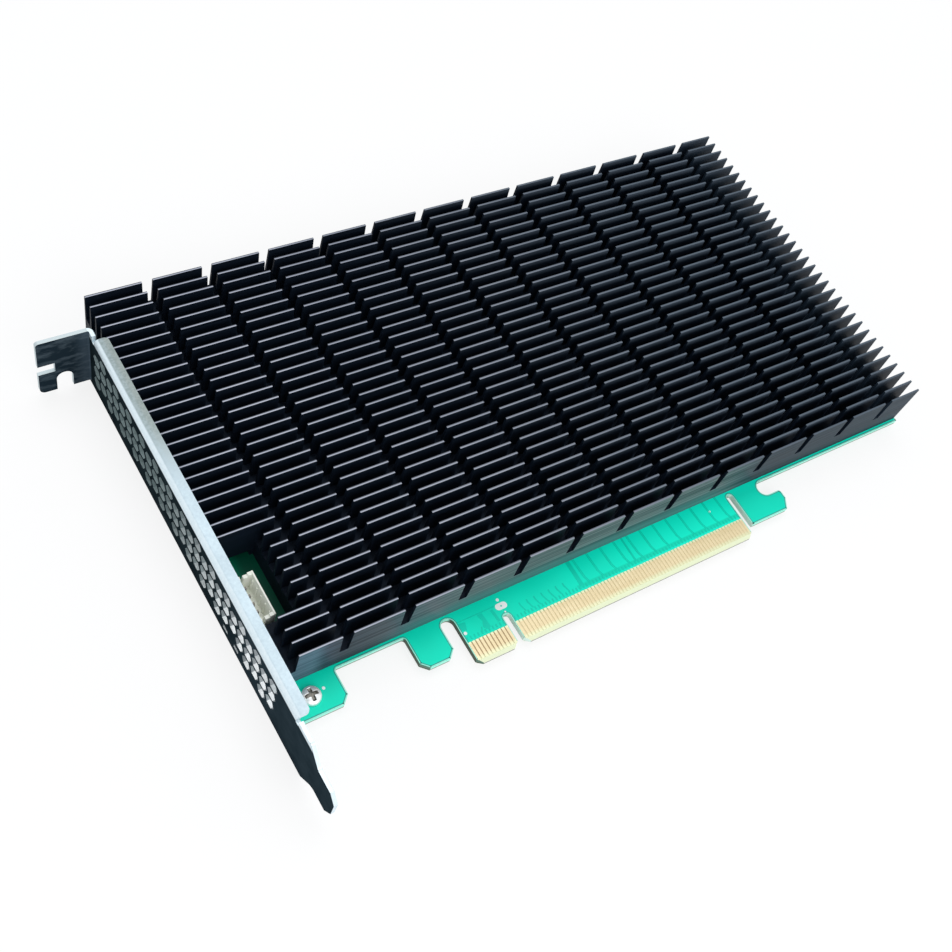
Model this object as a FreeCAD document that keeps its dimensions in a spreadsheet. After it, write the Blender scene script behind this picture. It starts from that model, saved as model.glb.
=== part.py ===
"""NVMe adapter card: a full-height PCI Express x16 board under a one-piece pin-fin heatsink. Millimetres.

Frame: X runs along the card from the bracket (-X) to its far end (+X). Y runs from the edge connector
(y = 0) to the back edge. +Z is the component side, and z = 0 is the board's component face.
The origin is on the connector's edge, at the middle of its keying notch.
"""
import FreeCAD
import Part
import Sketcher
import math
import os

# name, size in mm (or a plain count), what it is
DIMENSIONS = (
    ("board_thickness", 1.57, "printed circuit board"),
    ("board_margin", 0.45, "board showing past the heatsink at the back and the far end"),
    ("board_shoulder", 12.85, "front edge of the board, from the connector's edge"),
    ("bracket_tab_front", 4.6, "front edge of the board tab under the bracket screw"),
    ("bracket_tab_right", -42.1, "end of the board tab under the bracket screw"),
    ("blank_tab_left", -24.4, "blank tab before the connector"),
    ("blank_tab_right", -15.6, "blank tab before the connector"),
    ("blank_tab_front", 4.0, "front edge of the blank tab"),
    ("tab_chamfer", 1.8, "corner chamfers of both tabs"),
    ("contact_pitch", 1.0, "edge contacts"),
    ("contact_width", 0.7, "edge contacts"),
    ("contact_thickness", 0.05, "edge contacts"),
    ("contact_top", 5.6, "upper end of the contacts, from the connector's edge"),
    ("left_contacts", 11, "contacts before the key on each face"),
    ("right_contacts", 71, "contacts after the key on each face"),
    ("key_width", 1.9, "keying notch"),
    ("key_top", 8.25, "closed end of the keying notch"),
    ("finger_margin", 0.6, "board beside the middle of each outermost contact"),
    ("key_margin", 0.55, "board between the key and the middle of the first contact"),
    ("finger_chamfer", 1.3, "corner chamfers of the contact tongues"),
    ("bevel_length", 0.9, "insertion bevel, up the face"),
    ("bevel_depth", 0.4, "insertion bevel, into the thickness"),
    ("hook_gap", 1.9, "slot between the connector and the retention hook"),
    ("hook_front", 2.85, "front edge of the retention hook"),
    ("hook_width", 14.0, "retention hook"),
    ("hook_slant_x", 1.8, "slanted corner of the retention hook"),
    ("hook_slant_y", 2.9, "slanted corner of the retention hook"),
    ("hook_notch_front", 8.4, "latching notch behind the hook"),
    ("hook_notch_depth", 5.9, "latching notch behind the hook"),
    ("bracket_face", -58.8, "outer face of the bracket"),
    ("sheet_thickness", 0.95, "bracket steel"),
    ("bracket_low", -2.77, "lower long edge of the bracket"),
    ("bracket_width", 18.42, "bracket plate"),
    ("bracket_length", 120.02, "bracket from the fold's face to the tongue's tip"),
    ("fold_face", 104.05, "outer face of the bracket's folded end"),
    ("fold_length", 12.0, "folded end, past the bracket's face"),
    ("fold_low", -1.9, "lower edge of the folded end"),
    ("fold_notch_width", 3.85, "screw notch in the folded end"),
    ("fold_notch_end", 3.7, "closed end of the screw notch"),
    ("fold_notch_offset", 6.0, "middle of the screw notch, past the bracket's face"),
    ("fold_slit_width", 2.9, "guide slit in the folded end"),
    ("fold_slit_low", 4.85, "lower edge of the guide slit"),
    ("fold_slit_depth", 3.9, "guide slit in the folded end"),
    ("plate_front", -4.5, "where the bracket narrows to its tongue"),
    ("tongue_length", 7.4, "parallel stretch of the tongue"),
    ("tongue_width", 10.1, "tongue"),
    ("flange_width", 3.2, "flange along the bracket's upper edge"),
    ("flange_front", 1.5, "front end of the flange"),
    ("flange_back", 100.3, "back end of the flange"),
    ("relief_width", 1.1, "bend relief at each end of the flange"),
    ("relief_depth", 1.7, "bend relief at each end of the flange"),
    ("outer_bend", 1.3, "outer bend radius of the sheet"),
    ("vent_width", 3.2, "hexagonal vent holes across their flats"),
    ("vent_pitch_along", 3.53, "vent columns along the bracket"),
    ("vent_pitch_across", 4.0, "vent holes within a column"),
    ("vent_pairs", 13, "pairs of staggered vent columns"),
    ("vent_first", 10.8, "middle of the first vent column"),
    ("vent_low", 1.5, "lowest vent hole"),
    ("window_length", 2.2, "small windows beside the omitted vent hole"),
    ("window_height", 1.1, "small windows beside the omitted vent hole"),
    ("window_low", -0.95, "lower edge of the small windows"),
    ("window_offset", 2.6, "small windows, from the middle of the omitted hole's column"),
    ("board_gap", 0.35, "between the bracket's inner face and the board"),
    ("mount_tab_reach", 12.7, "bracket mounting tabs, from the bracket's inner face"),
    ("mount_tab_width", 8.4, "bracket mounting tabs"),
    ("bracket_screw_x", -49.5, "bracket screws"),
    ("bracket_screw_y", 9.2, "front bracket screw"),
    ("bracket_screw_pitch", 85.0, "between the bracket screws"),
    ("bracket_screw_excess", 0.15, "bracket screws past the mounting tabs"),
    ("screw_radius", 1.25, "M2.5 shank, bracket and heatsink screws"),
    ("screw_head_radius", 2.25, "M2.5 head"),
    ("bracket_head_height", 1.6, "head of a bracket screw"),
    ("sink_head_height", 1.2, "low head of a heatsink screw"),
    ("recess_width", 0.75, "arms of the cross recess"),
    ("recess_reach", 1.45, "arms of the cross recess"),
    ("recess_depth", 0.8, "cross recess"),
    ("thread_clearance", 0.05, "between a shank and its threaded hole"),
    ("hole_clearance", 0.2, "between a shank and a plain hole"),
    ("sink_left", -55.2, "bracket end of the heatsink"),
    ("sink_front", 13.75, "front face of the heatsink"),
    ("sink_height", 13.2, "fin tips above the board"),
    ("base_height", 5.8, "roots of the fins above the board"),
    ("fin_rows", 33, "fin rows"),
    ("fin_pitch", 3.14, "fin rows"),
    ("fin_tip", 0.5, "fin thickness at the tip"),
    ("fin_root", 0.9, "fin thickness at the root"),
    ("first_slot", -40.15, "middle of the first cross slot"),
    ("slot_pitch", 15.03, "cross slots"),
    ("slot_count", 12, "cross slots"),
    ("slot_width", 2.66, "cross slots at the fin tips"),
    ("slot_root", 2.15, "cross slots at the fin roots"),
    ("last_column", 10.7, "fin length past the last cross slot"),
    ("setback_x", -51.6, "bracket end of the front fin rows"),
    ("setback_rows", 4, "front fin rows that are set back"),
    ("cutout_rows", 6, "fin rows cut away round the fan header"),
    ("cutout_right", -45.55, "far side of the fan header cut-out"),
    ("recess_height", 2.2, "clearance under the heatsink beside the bracket"),
    ("recess_right", -46.4, "clearance under the heatsink beside the bracket"),
    ("recess_back", 108.0, "clearance under the heatsink beside the bracket"),
    ("lane_count", 4, "drive slots under the heatsink"),
    ("lane_first", 4.0, "middle of the first drive slot"),
    ("lane_pitch", 29.0, "drive slots"),
    ("lane_width", 25.0, "pocket over each drive slot"),
    ("lane_front", 17.0, "pocket over each drive slot"),
    ("lane_back", 107.5, "pocket over each drive slot"),
    ("lane_height", 4.6, "pocket over each drive slot"),
    ("side_height", 3.0, "pockets over the clock and power parts"),
    ("side_front", 20.0, "pockets over the clock and power parts"),
    ("side_back", 104.0, "pockets over the clock and power parts"),
    ("clock_pocket_left", -38.5, "pocket over the clock parts"),
    ("clock_pocket_right", -14.5, "pocket over the clock parts"),
    ("power_pocket_width", 22.0, "pocket over the power parts"),
    ("rib_width", 4.0, "solid rib beside a pocket, where the heatsink screws enter"),
    ("sink_screw_pitch", 2, "lanes between two columns of heatsink screws"),
    ("sink_screw_columns", 3, "columns of heatsink screws"),
    ("sink_screw_front", 32.0, "front row of heatsink screws"),
    ("sink_screw_span", 66.0, "between the two rows of heatsink screws"),
    ("sink_screw_reach", 3.6, "heatsink screws inside the heatsink"),
    ("socket_width", 21.9, "drive sockets"),
    ("socket_depth", 8.7, "drive sockets"),
    ("socket_height", 4.2, "drive sockets"),
    ("socket_back_wall", 3.2, "drive sockets, behind the card slot"),
    ("socket_slot_low", 1.9, "card slot of the drive sockets"),
    ("socket_slot_height", 0.95, "card slot of the drive sockets"),
    ("socket_jaw_depth", 6.8, "upper jaw of the drive sockets"),
    ("socket_cheek", 0.9, "end cheeks of the drive sockets"),
    ("socket_key_offset", 6.1, "key rib of the drive sockets, off centre"),
    ("socket_key_width", 1.2, "key rib of the drive sockets"),
    ("socket_y", 18.2, "front of the drive sockets"),
    ("drive_length", 80.0, "drive from its socket's back wall to its screw"),
    ("standoff_radius", 2.6, "drive standoffs"),
    ("standoff_height", 2.35, "drive standoffs"),
    ("drive_screw_radius", 1.0, "M2 shank"),
    ("drive_screw_length", 2.2, "drive screws under the head"),
    ("drive_head_radius", 2.3, "drive screw heads"),
    ("drive_head_height", 0.8, "drive screw heads"),
    ("gum_width", 20.0, "thermal pads"),
    ("gum_length", 62.0, "thermal pads"),
    ("gum_thickness", 1.0, "thermal pads"),
    ("gum_front", 33.0, "thermal pads"),
    ("header_x", -52.45, "middle of the fan header"),
    ("header_y", 32.6, "middle of the fan header"),
    ("header_width", 5.8, "fan header shroud"),
    ("header_length", 11.4, "fan header shroud"),
    ("header_height", 7.0, "fan header shroud"),
    ("header_wall", 0.85, "fan header shroud"),
    ("header_floor", 1.4, "fan header shroud"),
    ("header_slot", 0.7, "guide slots in the end walls of the fan header"),
    ("header_slot_left", -0.15, "guide slots, from the header's middle"),
    ("header_step", 0.9, "lowered rim of the fan header's end walls"),
    ("pin_count", 4, "fan header pins"),
    ("pin_pitch", 2.0, "fan header pins"),
    ("pin_size", 0.5, "fan header pins, square"),
    ("pin_top", 5.6, "fan header pins above the board"),
    ("pin_tail", 1.1, "fan header pins below the board"),
    ("clock_chip_size", 6.0, "clock buffer chip"),
    ("clock_chip_height", 0.9, "clock buffer chip"),
    ("regulator_size", 5.0, "voltage regulator chips"),
    ("regulator_height", 1.0, "voltage regulator chips"),
    ("coil_size", 6.8, "power inductors"),
    ("coil_height", 2.6, "power inductors"),
    ("power_pitch", 30.0, "between the two power stages"),
    ("capacitor_length", 3.2, "ceramic capacitors"),
    ("capacitor_width", 1.6, "ceramic capacitors"),
    ("capacitor_height", 1.5, "ceramic capacitors"),
    ("capacitor_pitch", 5.0, "ceramic capacitors"),
    ("capacitor_count", 6, "ceramic capacitors"),
)

OVERCUT = 1.0  # how far a cutting profile runs past the solid
OMITTED_COLUMN = 5  # vent column whose lowest hole is left out
# First column, number of columns, first row and number of rows of each group of vent holes.
# Every second column sits half a step higher.
VENT_GROUPS = (
    (0, "dims.vent_pairs", 0.5, 3),
    (1, "dims.vent_pairs", 1, 2),
    (1, (OMITTED_COLUMN - 1) // 2, 0, 1),
    (OMITTED_COLUMN + 2, f"dims.vent_pairs - {(OMITTED_COLUMN + 1) // 2}", 0, 1),
)

doc = FreeCAD.newDocument("adapter_card")
sheet = doc.addObject("Spreadsheet::Sheet", "dims")
for row, (alias, size, note) in enumerate(DIMENSIONS, start=1):
    sheet.set(f"A{row}", note)
    sheet.set(f"B{row}", str(size))
    sheet.setAlias(f"B{row}", alias)
doc.recompute()

# Positions that follow from the sheet, as expressions.
BOARD_UNDER = "(-dims.board_thickness)"
BRACKET_INNER = "(dims.bracket_face + dims.sheet_thickness)"
BRACKET_HIGH = "(dims.bracket_low + dims.bracket_width)"
BOARD_LEFT = f"({BRACKET_INNER} + dims.board_gap)"
FIRST_CONTACT = "(dims.key_width / 2 + dims.key_margin)"
FINGERS_LEFT = f"(-{FIRST_CONTACT} - (dims.left_contacts - 1) * dims.contact_pitch - dims.finger_margin)"
FINGERS_RIGHT = f"({FIRST_CONTACT} + (dims.right_contacts - 1) * dims.contact_pitch + dims.finger_margin)"
HOOK_LEFT = f"({FINGERS_RIGHT} + dims.hook_gap)"
HOOK_RIGHT = f"({HOOK_LEFT} + dims.hook_width)"
SINK_BACK = "(dims.sink_front + (dims.fin_rows - 1) * dims.fin_pitch + dims.fin_tip)"
SINK_RIGHT = ("(dims.first_slot + (dims.slot_count - 1) * dims.slot_pitch"
              " + dims.slot_width / 2 + dims.last_column)")
BOARD_BACK = f"({SINK_BACK} + dims.board_margin)"
BOARD_RIGHT = f"({SINK_RIGHT} + dims.board_margin)"
FIN_DEPTH = "(dims.sink_height - dims.base_height)"
CUTOUT_FRONT = "(dims.sink_front + dims.setback_rows * dims.fin_pitch - dims.fin_tip)"
CUTOUT_BACK = "(dims.sink_front + (dims.setback_rows + dims.cutout_rows) * dims.fin_pitch)"
FIRST_RIB = "(dims.lane_first - dims.lane_pitch / 2)"
POWER_LEFT = "(dims.lane_first + (dims.lane_count - 1 / 2) * dims.lane_pitch + dims.rib_width / 2)"
STANDOFF_Y = "(dims.socket_y + dims.socket_back_wall + dims.drive_length)"
TONGUE_MIDDLE = "(dims.bracket_low + dims.bracket_width / 2)"
TONGUE_TIP = "(dims.fold_face - dims.bracket_length)"
MOUNT_TAB_LOW = f"({BOARD_UNDER} - dims.sheet_thickness)"
SINK_SCREW_STEP = "(dims.sink_screw_pitch * dims.lane_pitch)"
BRACKET_SCREW_LENGTH = f"(dims.bracket_screw_excess - {MOUNT_TAB_LOW})"


def number(expression):
    """The present value of an expression in the sheet's names."""
    return float(sheet.evalExpression(str(expression)))


def whole(expression):
    """The present value of a count."""
    return int(round(number(expression)))


def new_body(label):
    body = doc.addObject("PartDesign::Body", label)
    body.Label = label
    body.AllowCompound = True
    return body


def new_sketch(body, name, role="XY_Plane", level=None):
    """A sketch on one of the body's own planes, moved along that plane's normal."""
    sketch = body.newObject("Sketcher::SketchObject", f"{body.Name}_{name}")
    plane = next(item for item in body.Origin.OriginFeatures if item.Role == role)
    sketch.AttachmentSupport = [(plane, "")]
    sketch.MapMode = "FlatFace"
    if level is not None:
        sketch.setExpression("AttachmentOffset.Base.z", level)
    return sketch


def add_outline(sketch, corners):
    """A closed outline whose every corner is held by two dimensions from the sketch's origin."""
    first = sketch.GeometryCount
    count = len(corners)
    places = [FreeCAD.Vector(number(across), number(up), 0) for across, up in corners]
    sides = [Part.LineSegment(places[i], places[(i + 1) % count]) for i in range(count)]
    sketch.addGeometry(sides, False)
    links = [Sketcher.Constraint("Coincident", first + i, 2, first + (i + 1) % count, 1)
             for i in range(count)]
    sketch.addConstraint(links)
    held = []
    for i, place in enumerate(places):
        held.append(Sketcher.Constraint("DistanceX", -1, 1, first + i, 1, place.x))
        held.append(Sketcher.Constraint("DistanceY", -1, 1, first + i, 1, place.y))
    start = sketch.ConstraintCount
    sketch.addConstraint(held)
    for i, (across, up) in enumerate(corners):
        sketch.setExpression(f"Constraints[{start + 2 * i}]", str(across))
        sketch.setExpression(f"Constraints[{start + 2 * i + 1}]", str(up))


def add_rectangle(sketch, left, low, right, high):
    add_outline(sketch, [(left, low), (right, low), (right, high), (left, high)])


def add_circles(sketch, circles):
    """Circles given as (across, up, radius)."""
    first = sketch.GeometryCount
    start = sketch.ConstraintCount
    shapes = []
    held = []
    for i, (across, up, radius) in enumerate(circles):
        middle = FreeCAD.Vector(number(across), number(up), 0)
        shapes.append(Part.Circle(middle, FreeCAD.Vector(0, 0, 1), number(radius)))
        held.append(Sketcher.Constraint("DistanceX", -1, 1, first + i, 3, middle.x))
        held.append(Sketcher.Constraint("DistanceY", -1, 1, first + i, 3, middle.y))
        held.append(Sketcher.Constraint("Radius", first + i, number(radius)))
    sketch.addGeometry(shapes, False)
    sketch.addConstraint(held)
    for i, sizes in enumerate(circles):
        for k, size in enumerate(sizes):
            sketch.setExpression(f"Constraints[{start + 3 * i + k}]", str(size))


def pad(body, sketch, length, backwards=False, middle=False):
    feature = body.newObject("PartDesign::Pad", f"{sketch.Name}_pad")
    feature.Profile = sketch
    feature.setExpression("Length", str(length))
    feature.Reversed = backwards
    feature.Midplane = middle
    doc.recompute()
    return feature


def pocket(body, sketch, length, backwards=False, middle=False):
    """A cut that must take material away."""
    before = body.Shape.Volume
    feature = body.newObject("PartDesign::Pocket", f"{sketch.Name}_pocket")
    feature.Profile = sketch
    feature.setExpression("Length", str(length))
    feature.Reversed = backwards
    feature.Midplane = middle
    doc.recompute()
    if body.Shape.Volume >= before:
        raise RuntimeError(f"{sketch.Name} cuts nothing")
    return feature


def repeat(body, features, sketch, axis, pitch, count):
    """Features repeated along one axis of a sketch, the first one included."""
    pattern = body.newObject("PartDesign::LinearPattern", f"{sketch.Name}_{axis}")
    pattern.Originals = features
    pattern.Direction = (sketch, [axis])
    pattern.Mode = "Spacing"
    pattern.setExpression("Offset", str(pitch))
    pattern.setExpression("Occurrences", str(count))
    body.Tip = pattern
    doc.recompute()
    return pattern


def repeat_both_ways(body, features, sketch, pitches, counts):
    """Features repeated on a grid along both axes of a sketch."""
    grid = body.newObject("PartDesign::MultiTransform", f"{sketch.Name}_grid")
    steps = []
    for axis, pitch, count in zip(("H_Axis", "V_Axis"), pitches, counts):
        if whole(count) == 1:
            continue
        step = body.newObject("PartDesign::LinearPattern", f"{sketch.Name}_{axis}")
        step.Direction = (sketch, [axis])
        step.Mode = "Spacing"
        step.setExpression("Offset", str(pitch))
        step.setExpression("Occurrences", str(count))
        steps.append(step)
    grid.Originals = features
    grid.Transformations = steps
    body.Tip = grid
    doc.recompute()
    return grid


def round_edges(body, places, radius):
    """Fillet the straight edges of the body whose middles lie at the given places.

    A place is (x, y, z) in numbers, and None leaves that direction open.
    """
    names = []
    for index, edge in enumerate(body.Shape.Edges, start=1):
        if edge.Curve.TypeId != "Part::GeomLine":
            continue
        middle = edge.CenterOfMass
        for place in places:
            misses = [abs(have - want) for have, want in zip(middle, place) if want is not None]
            if max(misses) < 0.01:
                names.append(f"Edge{index}")
    if not names:
        raise RuntimeError(f"{body.Name} has no edge to round at {places}")
    base = body.Tip
    fillet = body.newObject("PartDesign::Fillet", f"{body.Name}_round")
    fillet.Base = (base, names)
    fillet.setExpression("Radius", str(radius))
    doc.recompute()
    return fillet


def board_corners(corners, level):
    """Places of the board's upright edges at the given outline corners."""
    return [(number(across), number(up), level) for across, up in corners]


def bracket_screw_places():
    """Across and up of the bracket's screws."""
    return [("dims.bracket_screw_x", f"dims.bracket_screw_y + {i} * dims.bracket_screw_pitch")
            for i in range(2)]


def sink_screw_places():
    """Across and up of the heatsink's screws."""
    return [(f"{FIRST_RIB} + {i} * {SINK_SCREW_STEP}", f"dims.sink_screw_front + {k} * dims.sink_screw_span")
            for i in range(whole("dims.sink_screw_columns")) for k in range(2)]


def pin_offset(index):
    """A header pin's place along the header, from its middle."""
    return f"({index} - (dims.pin_count - 1) / 2) * dims.pin_pitch"


def make_board():
    body = new_body("pcb")
    chamfer = "dims.tab_chamfer"
    bevelled = "dims.finger_chamfer"
    key = "dims.key_width / 2"
    slot_end = "dims.board_shoulder"
    hook_corner = f"{HOOK_RIGHT} - dims.hook_notch_depth"
    outline = [
        (BOARD_LEFT, "dims.bracket_tab_front"),
        (f"dims.bracket_tab_right - {chamfer}", "dims.bracket_tab_front"),
        ("dims.bracket_tab_right", f"dims.bracket_tab_front + {chamfer}"),
        ("dims.bracket_tab_right", "dims.board_shoulder"),
        ("dims.blank_tab_left", "dims.board_shoulder"),
        ("dims.blank_tab_left", f"dims.blank_tab_front + {chamfer}"),
        (f"dims.blank_tab_left + {chamfer}", "dims.blank_tab_front"),
        (f"dims.blank_tab_right - {chamfer}", "dims.blank_tab_front"),
        ("dims.blank_tab_right", f"dims.blank_tab_front + {chamfer}"),
        ("dims.blank_tab_right", slot_end),
        (FINGERS_LEFT, slot_end),
        (FINGERS_LEFT, bevelled),
        (f"{FINGERS_LEFT} + {bevelled}", 0),
        (f"-{key} - {bevelled}", 0),
        (f"-{key}", bevelled),
        (f"-{key}", "dims.key_top"),
        (key, "dims.key_top"),
        (key, bevelled),
        (f"{key} + {bevelled}", 0),
        (f"{FINGERS_RIGHT} - {bevelled}", 0),
        (FINGERS_RIGHT, bevelled),
        (FINGERS_RIGHT, slot_end),
        (HOOK_LEFT, slot_end),
        (HOOK_LEFT, "dims.hook_front"),
        (f"{HOOK_RIGHT} - dims.hook_slant_x", "dims.hook_front"),
        (HOOK_RIGHT, "dims.hook_front + dims.hook_slant_y"),
        (HOOK_RIGHT, "dims.hook_notch_front"),
        (hook_corner, "dims.hook_notch_front"),
        (hook_corner, "dims.board_shoulder"),
        (BOARD_RIGHT, "dims.board_shoulder"),
        (BOARD_RIGHT, BOARD_BACK),
        (BOARD_LEFT, BOARD_BACK),
    ]
    sketch = new_sketch(body, "outline")
    add_outline(sketch, outline)
    pad(body, sketch, "dims.board_thickness", backwards=True)

    half = -number("dims.board_thickness") / 2
    slot_ends = ((outline[9:11], "(-dims.blank_tab_right - -" + FINGERS_LEFT + ")"),
                 (outline[15:17], "dims.key_width"),
                 (outline[21:23], "dims.hook_gap"),
                 (outline[27:29], "(dims.board_shoulder - dims.hook_notch_front)"))
    for corners, width in slot_ends:
        round_edges(body, board_corners(corners, half), f"abs({width}) * 0.49")
    plain = [outline[i] for i in (3, 4, 26)]
    round_edges(body, board_corners(plain, half), 0.8)

    bevel = new_sketch(body, "bevel", "YZ_Plane")
    deep = "dims.bevel_depth"
    over = OVERCUT
    for face, side in (("0", -1), (BOARD_UNDER, 1)):
        slope = f"{deep} * {over} / dims.bevel_length"
        add_outline(bevel, [
            ("dims.bevel_length", face),
            (-over, f"{face} + {side} * ({deep} + {slope})"),
            (-over, f"{face} - {side} * {over}"),
            ("dims.bevel_length", f"{face} - {side} * {over}"),
        ])
    reach = f"2 * ({FINGERS_RIGHT} + {over})"
    pocket(body, bevel, reach, middle=True)

    holes = new_sketch(body, "holes")
    loose = "dims.screw_radius + dims.hole_clearance"
    circles = [(across, up, loose) for across, up in bracket_screw_places() + sink_screw_places()]
    add_circles(holes, circles)
    half = "(dims.pin_size / 2 + dims.thread_clearance)"
    for i in range(whole("dims.pin_count")):
        middle = f"dims.header_y + {pin_offset(i)}"
        add_rectangle(holes, f"dims.header_x - {half}", f"{middle} - {half}",
                      f"dims.header_x + {half}", f"{middle} + {half}")
    pocket(body, holes, "dims.board_thickness")
    return body


def make_contacts(label, level, backwards):
    """The plated edge contacts of one face."""
    body = new_body(label)
    groups = ((f"-{FIRST_CONTACT} - (dims.left_contacts - 1) * dims.contact_pitch", "dims.left_contacts"),
              (FIRST_CONTACT, "dims.right_contacts"))
    for i, (middle, count) in enumerate(groups):
        sketch = new_sketch(body, f"group{i}", level=level)
        add_rectangle(sketch, f"{middle} - dims.contact_width / 2", "dims.bevel_length",
                      f"{middle} + dims.contact_width / 2", "dims.contact_top")
        first = pad(body, sketch, "dims.contact_thickness", backwards=backwards)
        repeat(body, [first], sketch, "H_Axis", "dims.contact_pitch", count)
    return body


def make_bracket():
    """The folded steel bracket: plate, tongue, flange, folded end, two mounting tabs and the vent."""
    body = new_body("bracket")
    sheet_metal = "dims.sheet_thickness"
    tongue_low = f"{TONGUE_MIDDLE} - dims.tongue_width / 2"
    tongue_high = f"{TONGUE_MIDDLE} + dims.tongue_width / 2"
    tongue_root = f"{TONGUE_TIP} + dims.tongue_length"
    plate = new_sketch(body, "plate", "YZ_Plane", "dims.bracket_face")
    add_outline(plate, [
        ("dims.fold_face", "dims.bracket_low"),
        ("dims.fold_face", BRACKET_HIGH),
        ("dims.plate_front", BRACKET_HIGH),
        (tongue_root, tongue_high),
        (f"{TONGUE_TIP} + 2.2", tongue_high),
        (TONGUE_TIP, f"{tongue_high} - 2.4"),
        (TONGUE_TIP, f"{tongue_low} + 2.9"),
        (f"{TONGUE_TIP} + 1.9", tongue_low),
        (tongue_root, tongue_low),
        ("dims.plate_front", "dims.bracket_low"),
    ])
    pad(body, plate, sheet_metal)

    flange = new_sketch(body, "flange", level=f"{BRACKET_HIGH} - {sheet_metal}")
    add_rectangle(flange, BRACKET_INNER, "dims.flange_front",
                  "dims.bracket_face + dims.flange_width", "dims.flange_back")
    pad(body, flange, sheet_metal)

    fold = new_sketch(body, "fold", "XZ_Plane", f"{sheet_metal} - dims.fold_face")
    outer = "dims.bracket_face - dims.fold_length"
    add_rectangle(fold, outer, "dims.fold_low", BRACKET_INNER, BRACKET_HIGH)
    pad(body, fold, sheet_metal, backwards=True)

    tabs = new_sketch(body, "tabs", level=MOUNT_TAB_LOW)
    for i in range(2):
        middle = f"dims.bracket_screw_y + {i} * dims.bracket_screw_pitch"
        add_rectangle(tabs, BRACKET_INNER, f"{middle} - dims.mount_tab_width / 2",
                      f"{BRACKET_INNER} + dims.mount_tab_reach", f"{middle} + dims.mount_tab_width / 2")
    pad(body, tabs, sheet_metal)

    reliefs = new_sketch(body, "reliefs", "YZ_Plane", "dims.bracket_face")
    for start in ("dims.flange_front - dims.relief_width", "dims.flange_back"):
        add_rectangle(reliefs, start, f"{BRACKET_HIGH} - dims.relief_depth",
                      f"{start} + dims.relief_width", f"{BRACKET_HIGH} + {OVERCUT}")
    pocket(body, reliefs, sheet_metal, backwards=True)

    notches = new_sketch(body, "notches", "XZ_Plane", f"{sheet_metal} - dims.fold_face")
    middle = "dims.bracket_face - dims.fold_notch_offset"
    add_rectangle(notches, f"{middle} - dims.fold_notch_width / 2", f"dims.fold_low - {OVERCUT}",
                  f"{middle} + dims.fold_notch_width / 2", "dims.fold_notch_end")
    add_rectangle(notches, f"{outer} - {OVERCUT}", "dims.fold_slit_low",
                  f"{outer} + dims.fold_slit_depth", "dims.fold_slit_low + dims.fold_slit_width")
    pocket(body, notches, sheet_metal)

    round_bracket_edges(body, outer, middle)

    cut_vents(body)

    threads = new_sketch(body, "threads", level=BOARD_UNDER)
    tapped = "dims.screw_radius + dims.thread_clearance"
    add_circles(threads, [(across, up, tapped) for across, up in bracket_screw_places()])
    pocket(body, threads, sheet_metal)
    return body


def cut_vents(body):
    """Staggered hexagonal vent holes, and two small windows in place of one left out of the lowest row."""
    corner = "dims.vent_width / sqrt(3)"
    half = "dims.vent_width / 2"
    for index, (column, columns, row, rows) in enumerate(VENT_GROUPS):
        sketch = new_sketch(body, f"vents{index}", "YZ_Plane", "dims.bracket_face")
        along = f"dims.vent_first + {column} * dims.vent_pitch_along"
        across = f"dims.vent_low + {row} * dims.vent_pitch_across"
        add_outline(sketch, [
            (f"{along} + {corner}", across),
            (f"{along} + {corner} / 2", f"{across} + {half}"),
            (f"{along} - {corner} / 2", f"{across} + {half}"),
            (f"{along} - {corner}", across),
            (f"{along} - {corner} / 2", f"{across} - {half}"),
            (f"{along} + {corner} / 2", f"{across} - {half}"),
        ])
        first = pocket(body, sketch, "dims.sheet_thickness", backwards=True)
        repeat_both_ways(body, [first], sketch, ("2 * dims.vent_pitch_along", "dims.vent_pitch_across"),
                         (columns, rows))
    windows = new_sketch(body, "windows", "YZ_Plane", "dims.bracket_face")
    omitted = f"dims.vent_first + {OMITTED_COLUMN} * dims.vent_pitch_along"
    for side in (-1, 1):
        start = f"{omitted} + {side} * dims.window_offset - dims.window_length / 2"
        add_rectangle(windows, start, "dims.window_low",
                      f"{start} + dims.window_length", "dims.window_low + dims.window_height")
    pocket(body, windows, "dims.sheet_thickness", backwards=True)


def round_bracket_edges(body, outer, notch_middle):
    """Bend radii, rounded free corners and the round ends of the notches."""
    face = number("dims.bracket_face")
    inner = number(BRACKET_INNER)
    high = number(BRACKET_HIGH)
    fold_face = number("dims.fold_face")
    gauge = number("dims.sheet_thickness")
    flange_edge = number("dims.bracket_face + dims.flange_width")
    flange_middle = number("(dims.flange_front + dims.flange_back) / 2")
    inner_bend = "dims.outer_bend - dims.sheet_thickness"
    plate_x = face + gauge / 2
    fold_y = fold_face - gauge / 2
    round_edges(body, [(face, flange_middle, high)], "dims.outer_bend")
    round_edges(body, [(inner, flange_middle, high - gauge)], inner_bend)
    flange_ends = [(flange_edge, number(end), high - gauge / 2)
                   for end in ("dims.flange_front", "dims.flange_back")]
    round_edges(body, flange_ends, 1.0)
    round_edges(body, [(inner, fold_face, None)], "dims.outer_bend")
    round_edges(body, [(face, fold_face - gauge, None)], inner_bend)
    round_edges(body, [(number(outer), fold_y, high)], 0.8)
    round_edges(body, [(number(outer), fold_y, number("dims.fold_low"))], 1.5)
    notch_half = number("dims.fold_notch_width") / 2
    notch_ends = [(number(notch_middle) + side * notch_half, fold_y, number("dims.fold_notch_end"))
                  for side in (-1, 1)]
    round_edges(body, notch_ends, "dims.fold_notch_width * 0.49")
    tongue_root = number(f"{TONGUE_TIP} + dims.tongue_length")
    half = number("dims.tongue_width") / 2
    middle = number(TONGUE_MIDDLE)
    round_edges(body, [(plate_x, tongue_root, middle - half)], 3.5)
    round_edges(body, [(plate_x, tongue_root, middle + half)], 1.0)
    shoulders = [(plate_x, number("dims.plate_front"), number(edge))
                 for edge in ("dims.bracket_low", BRACKET_HIGH)]
    round_edges(body, shoulders, 1.0)


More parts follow.
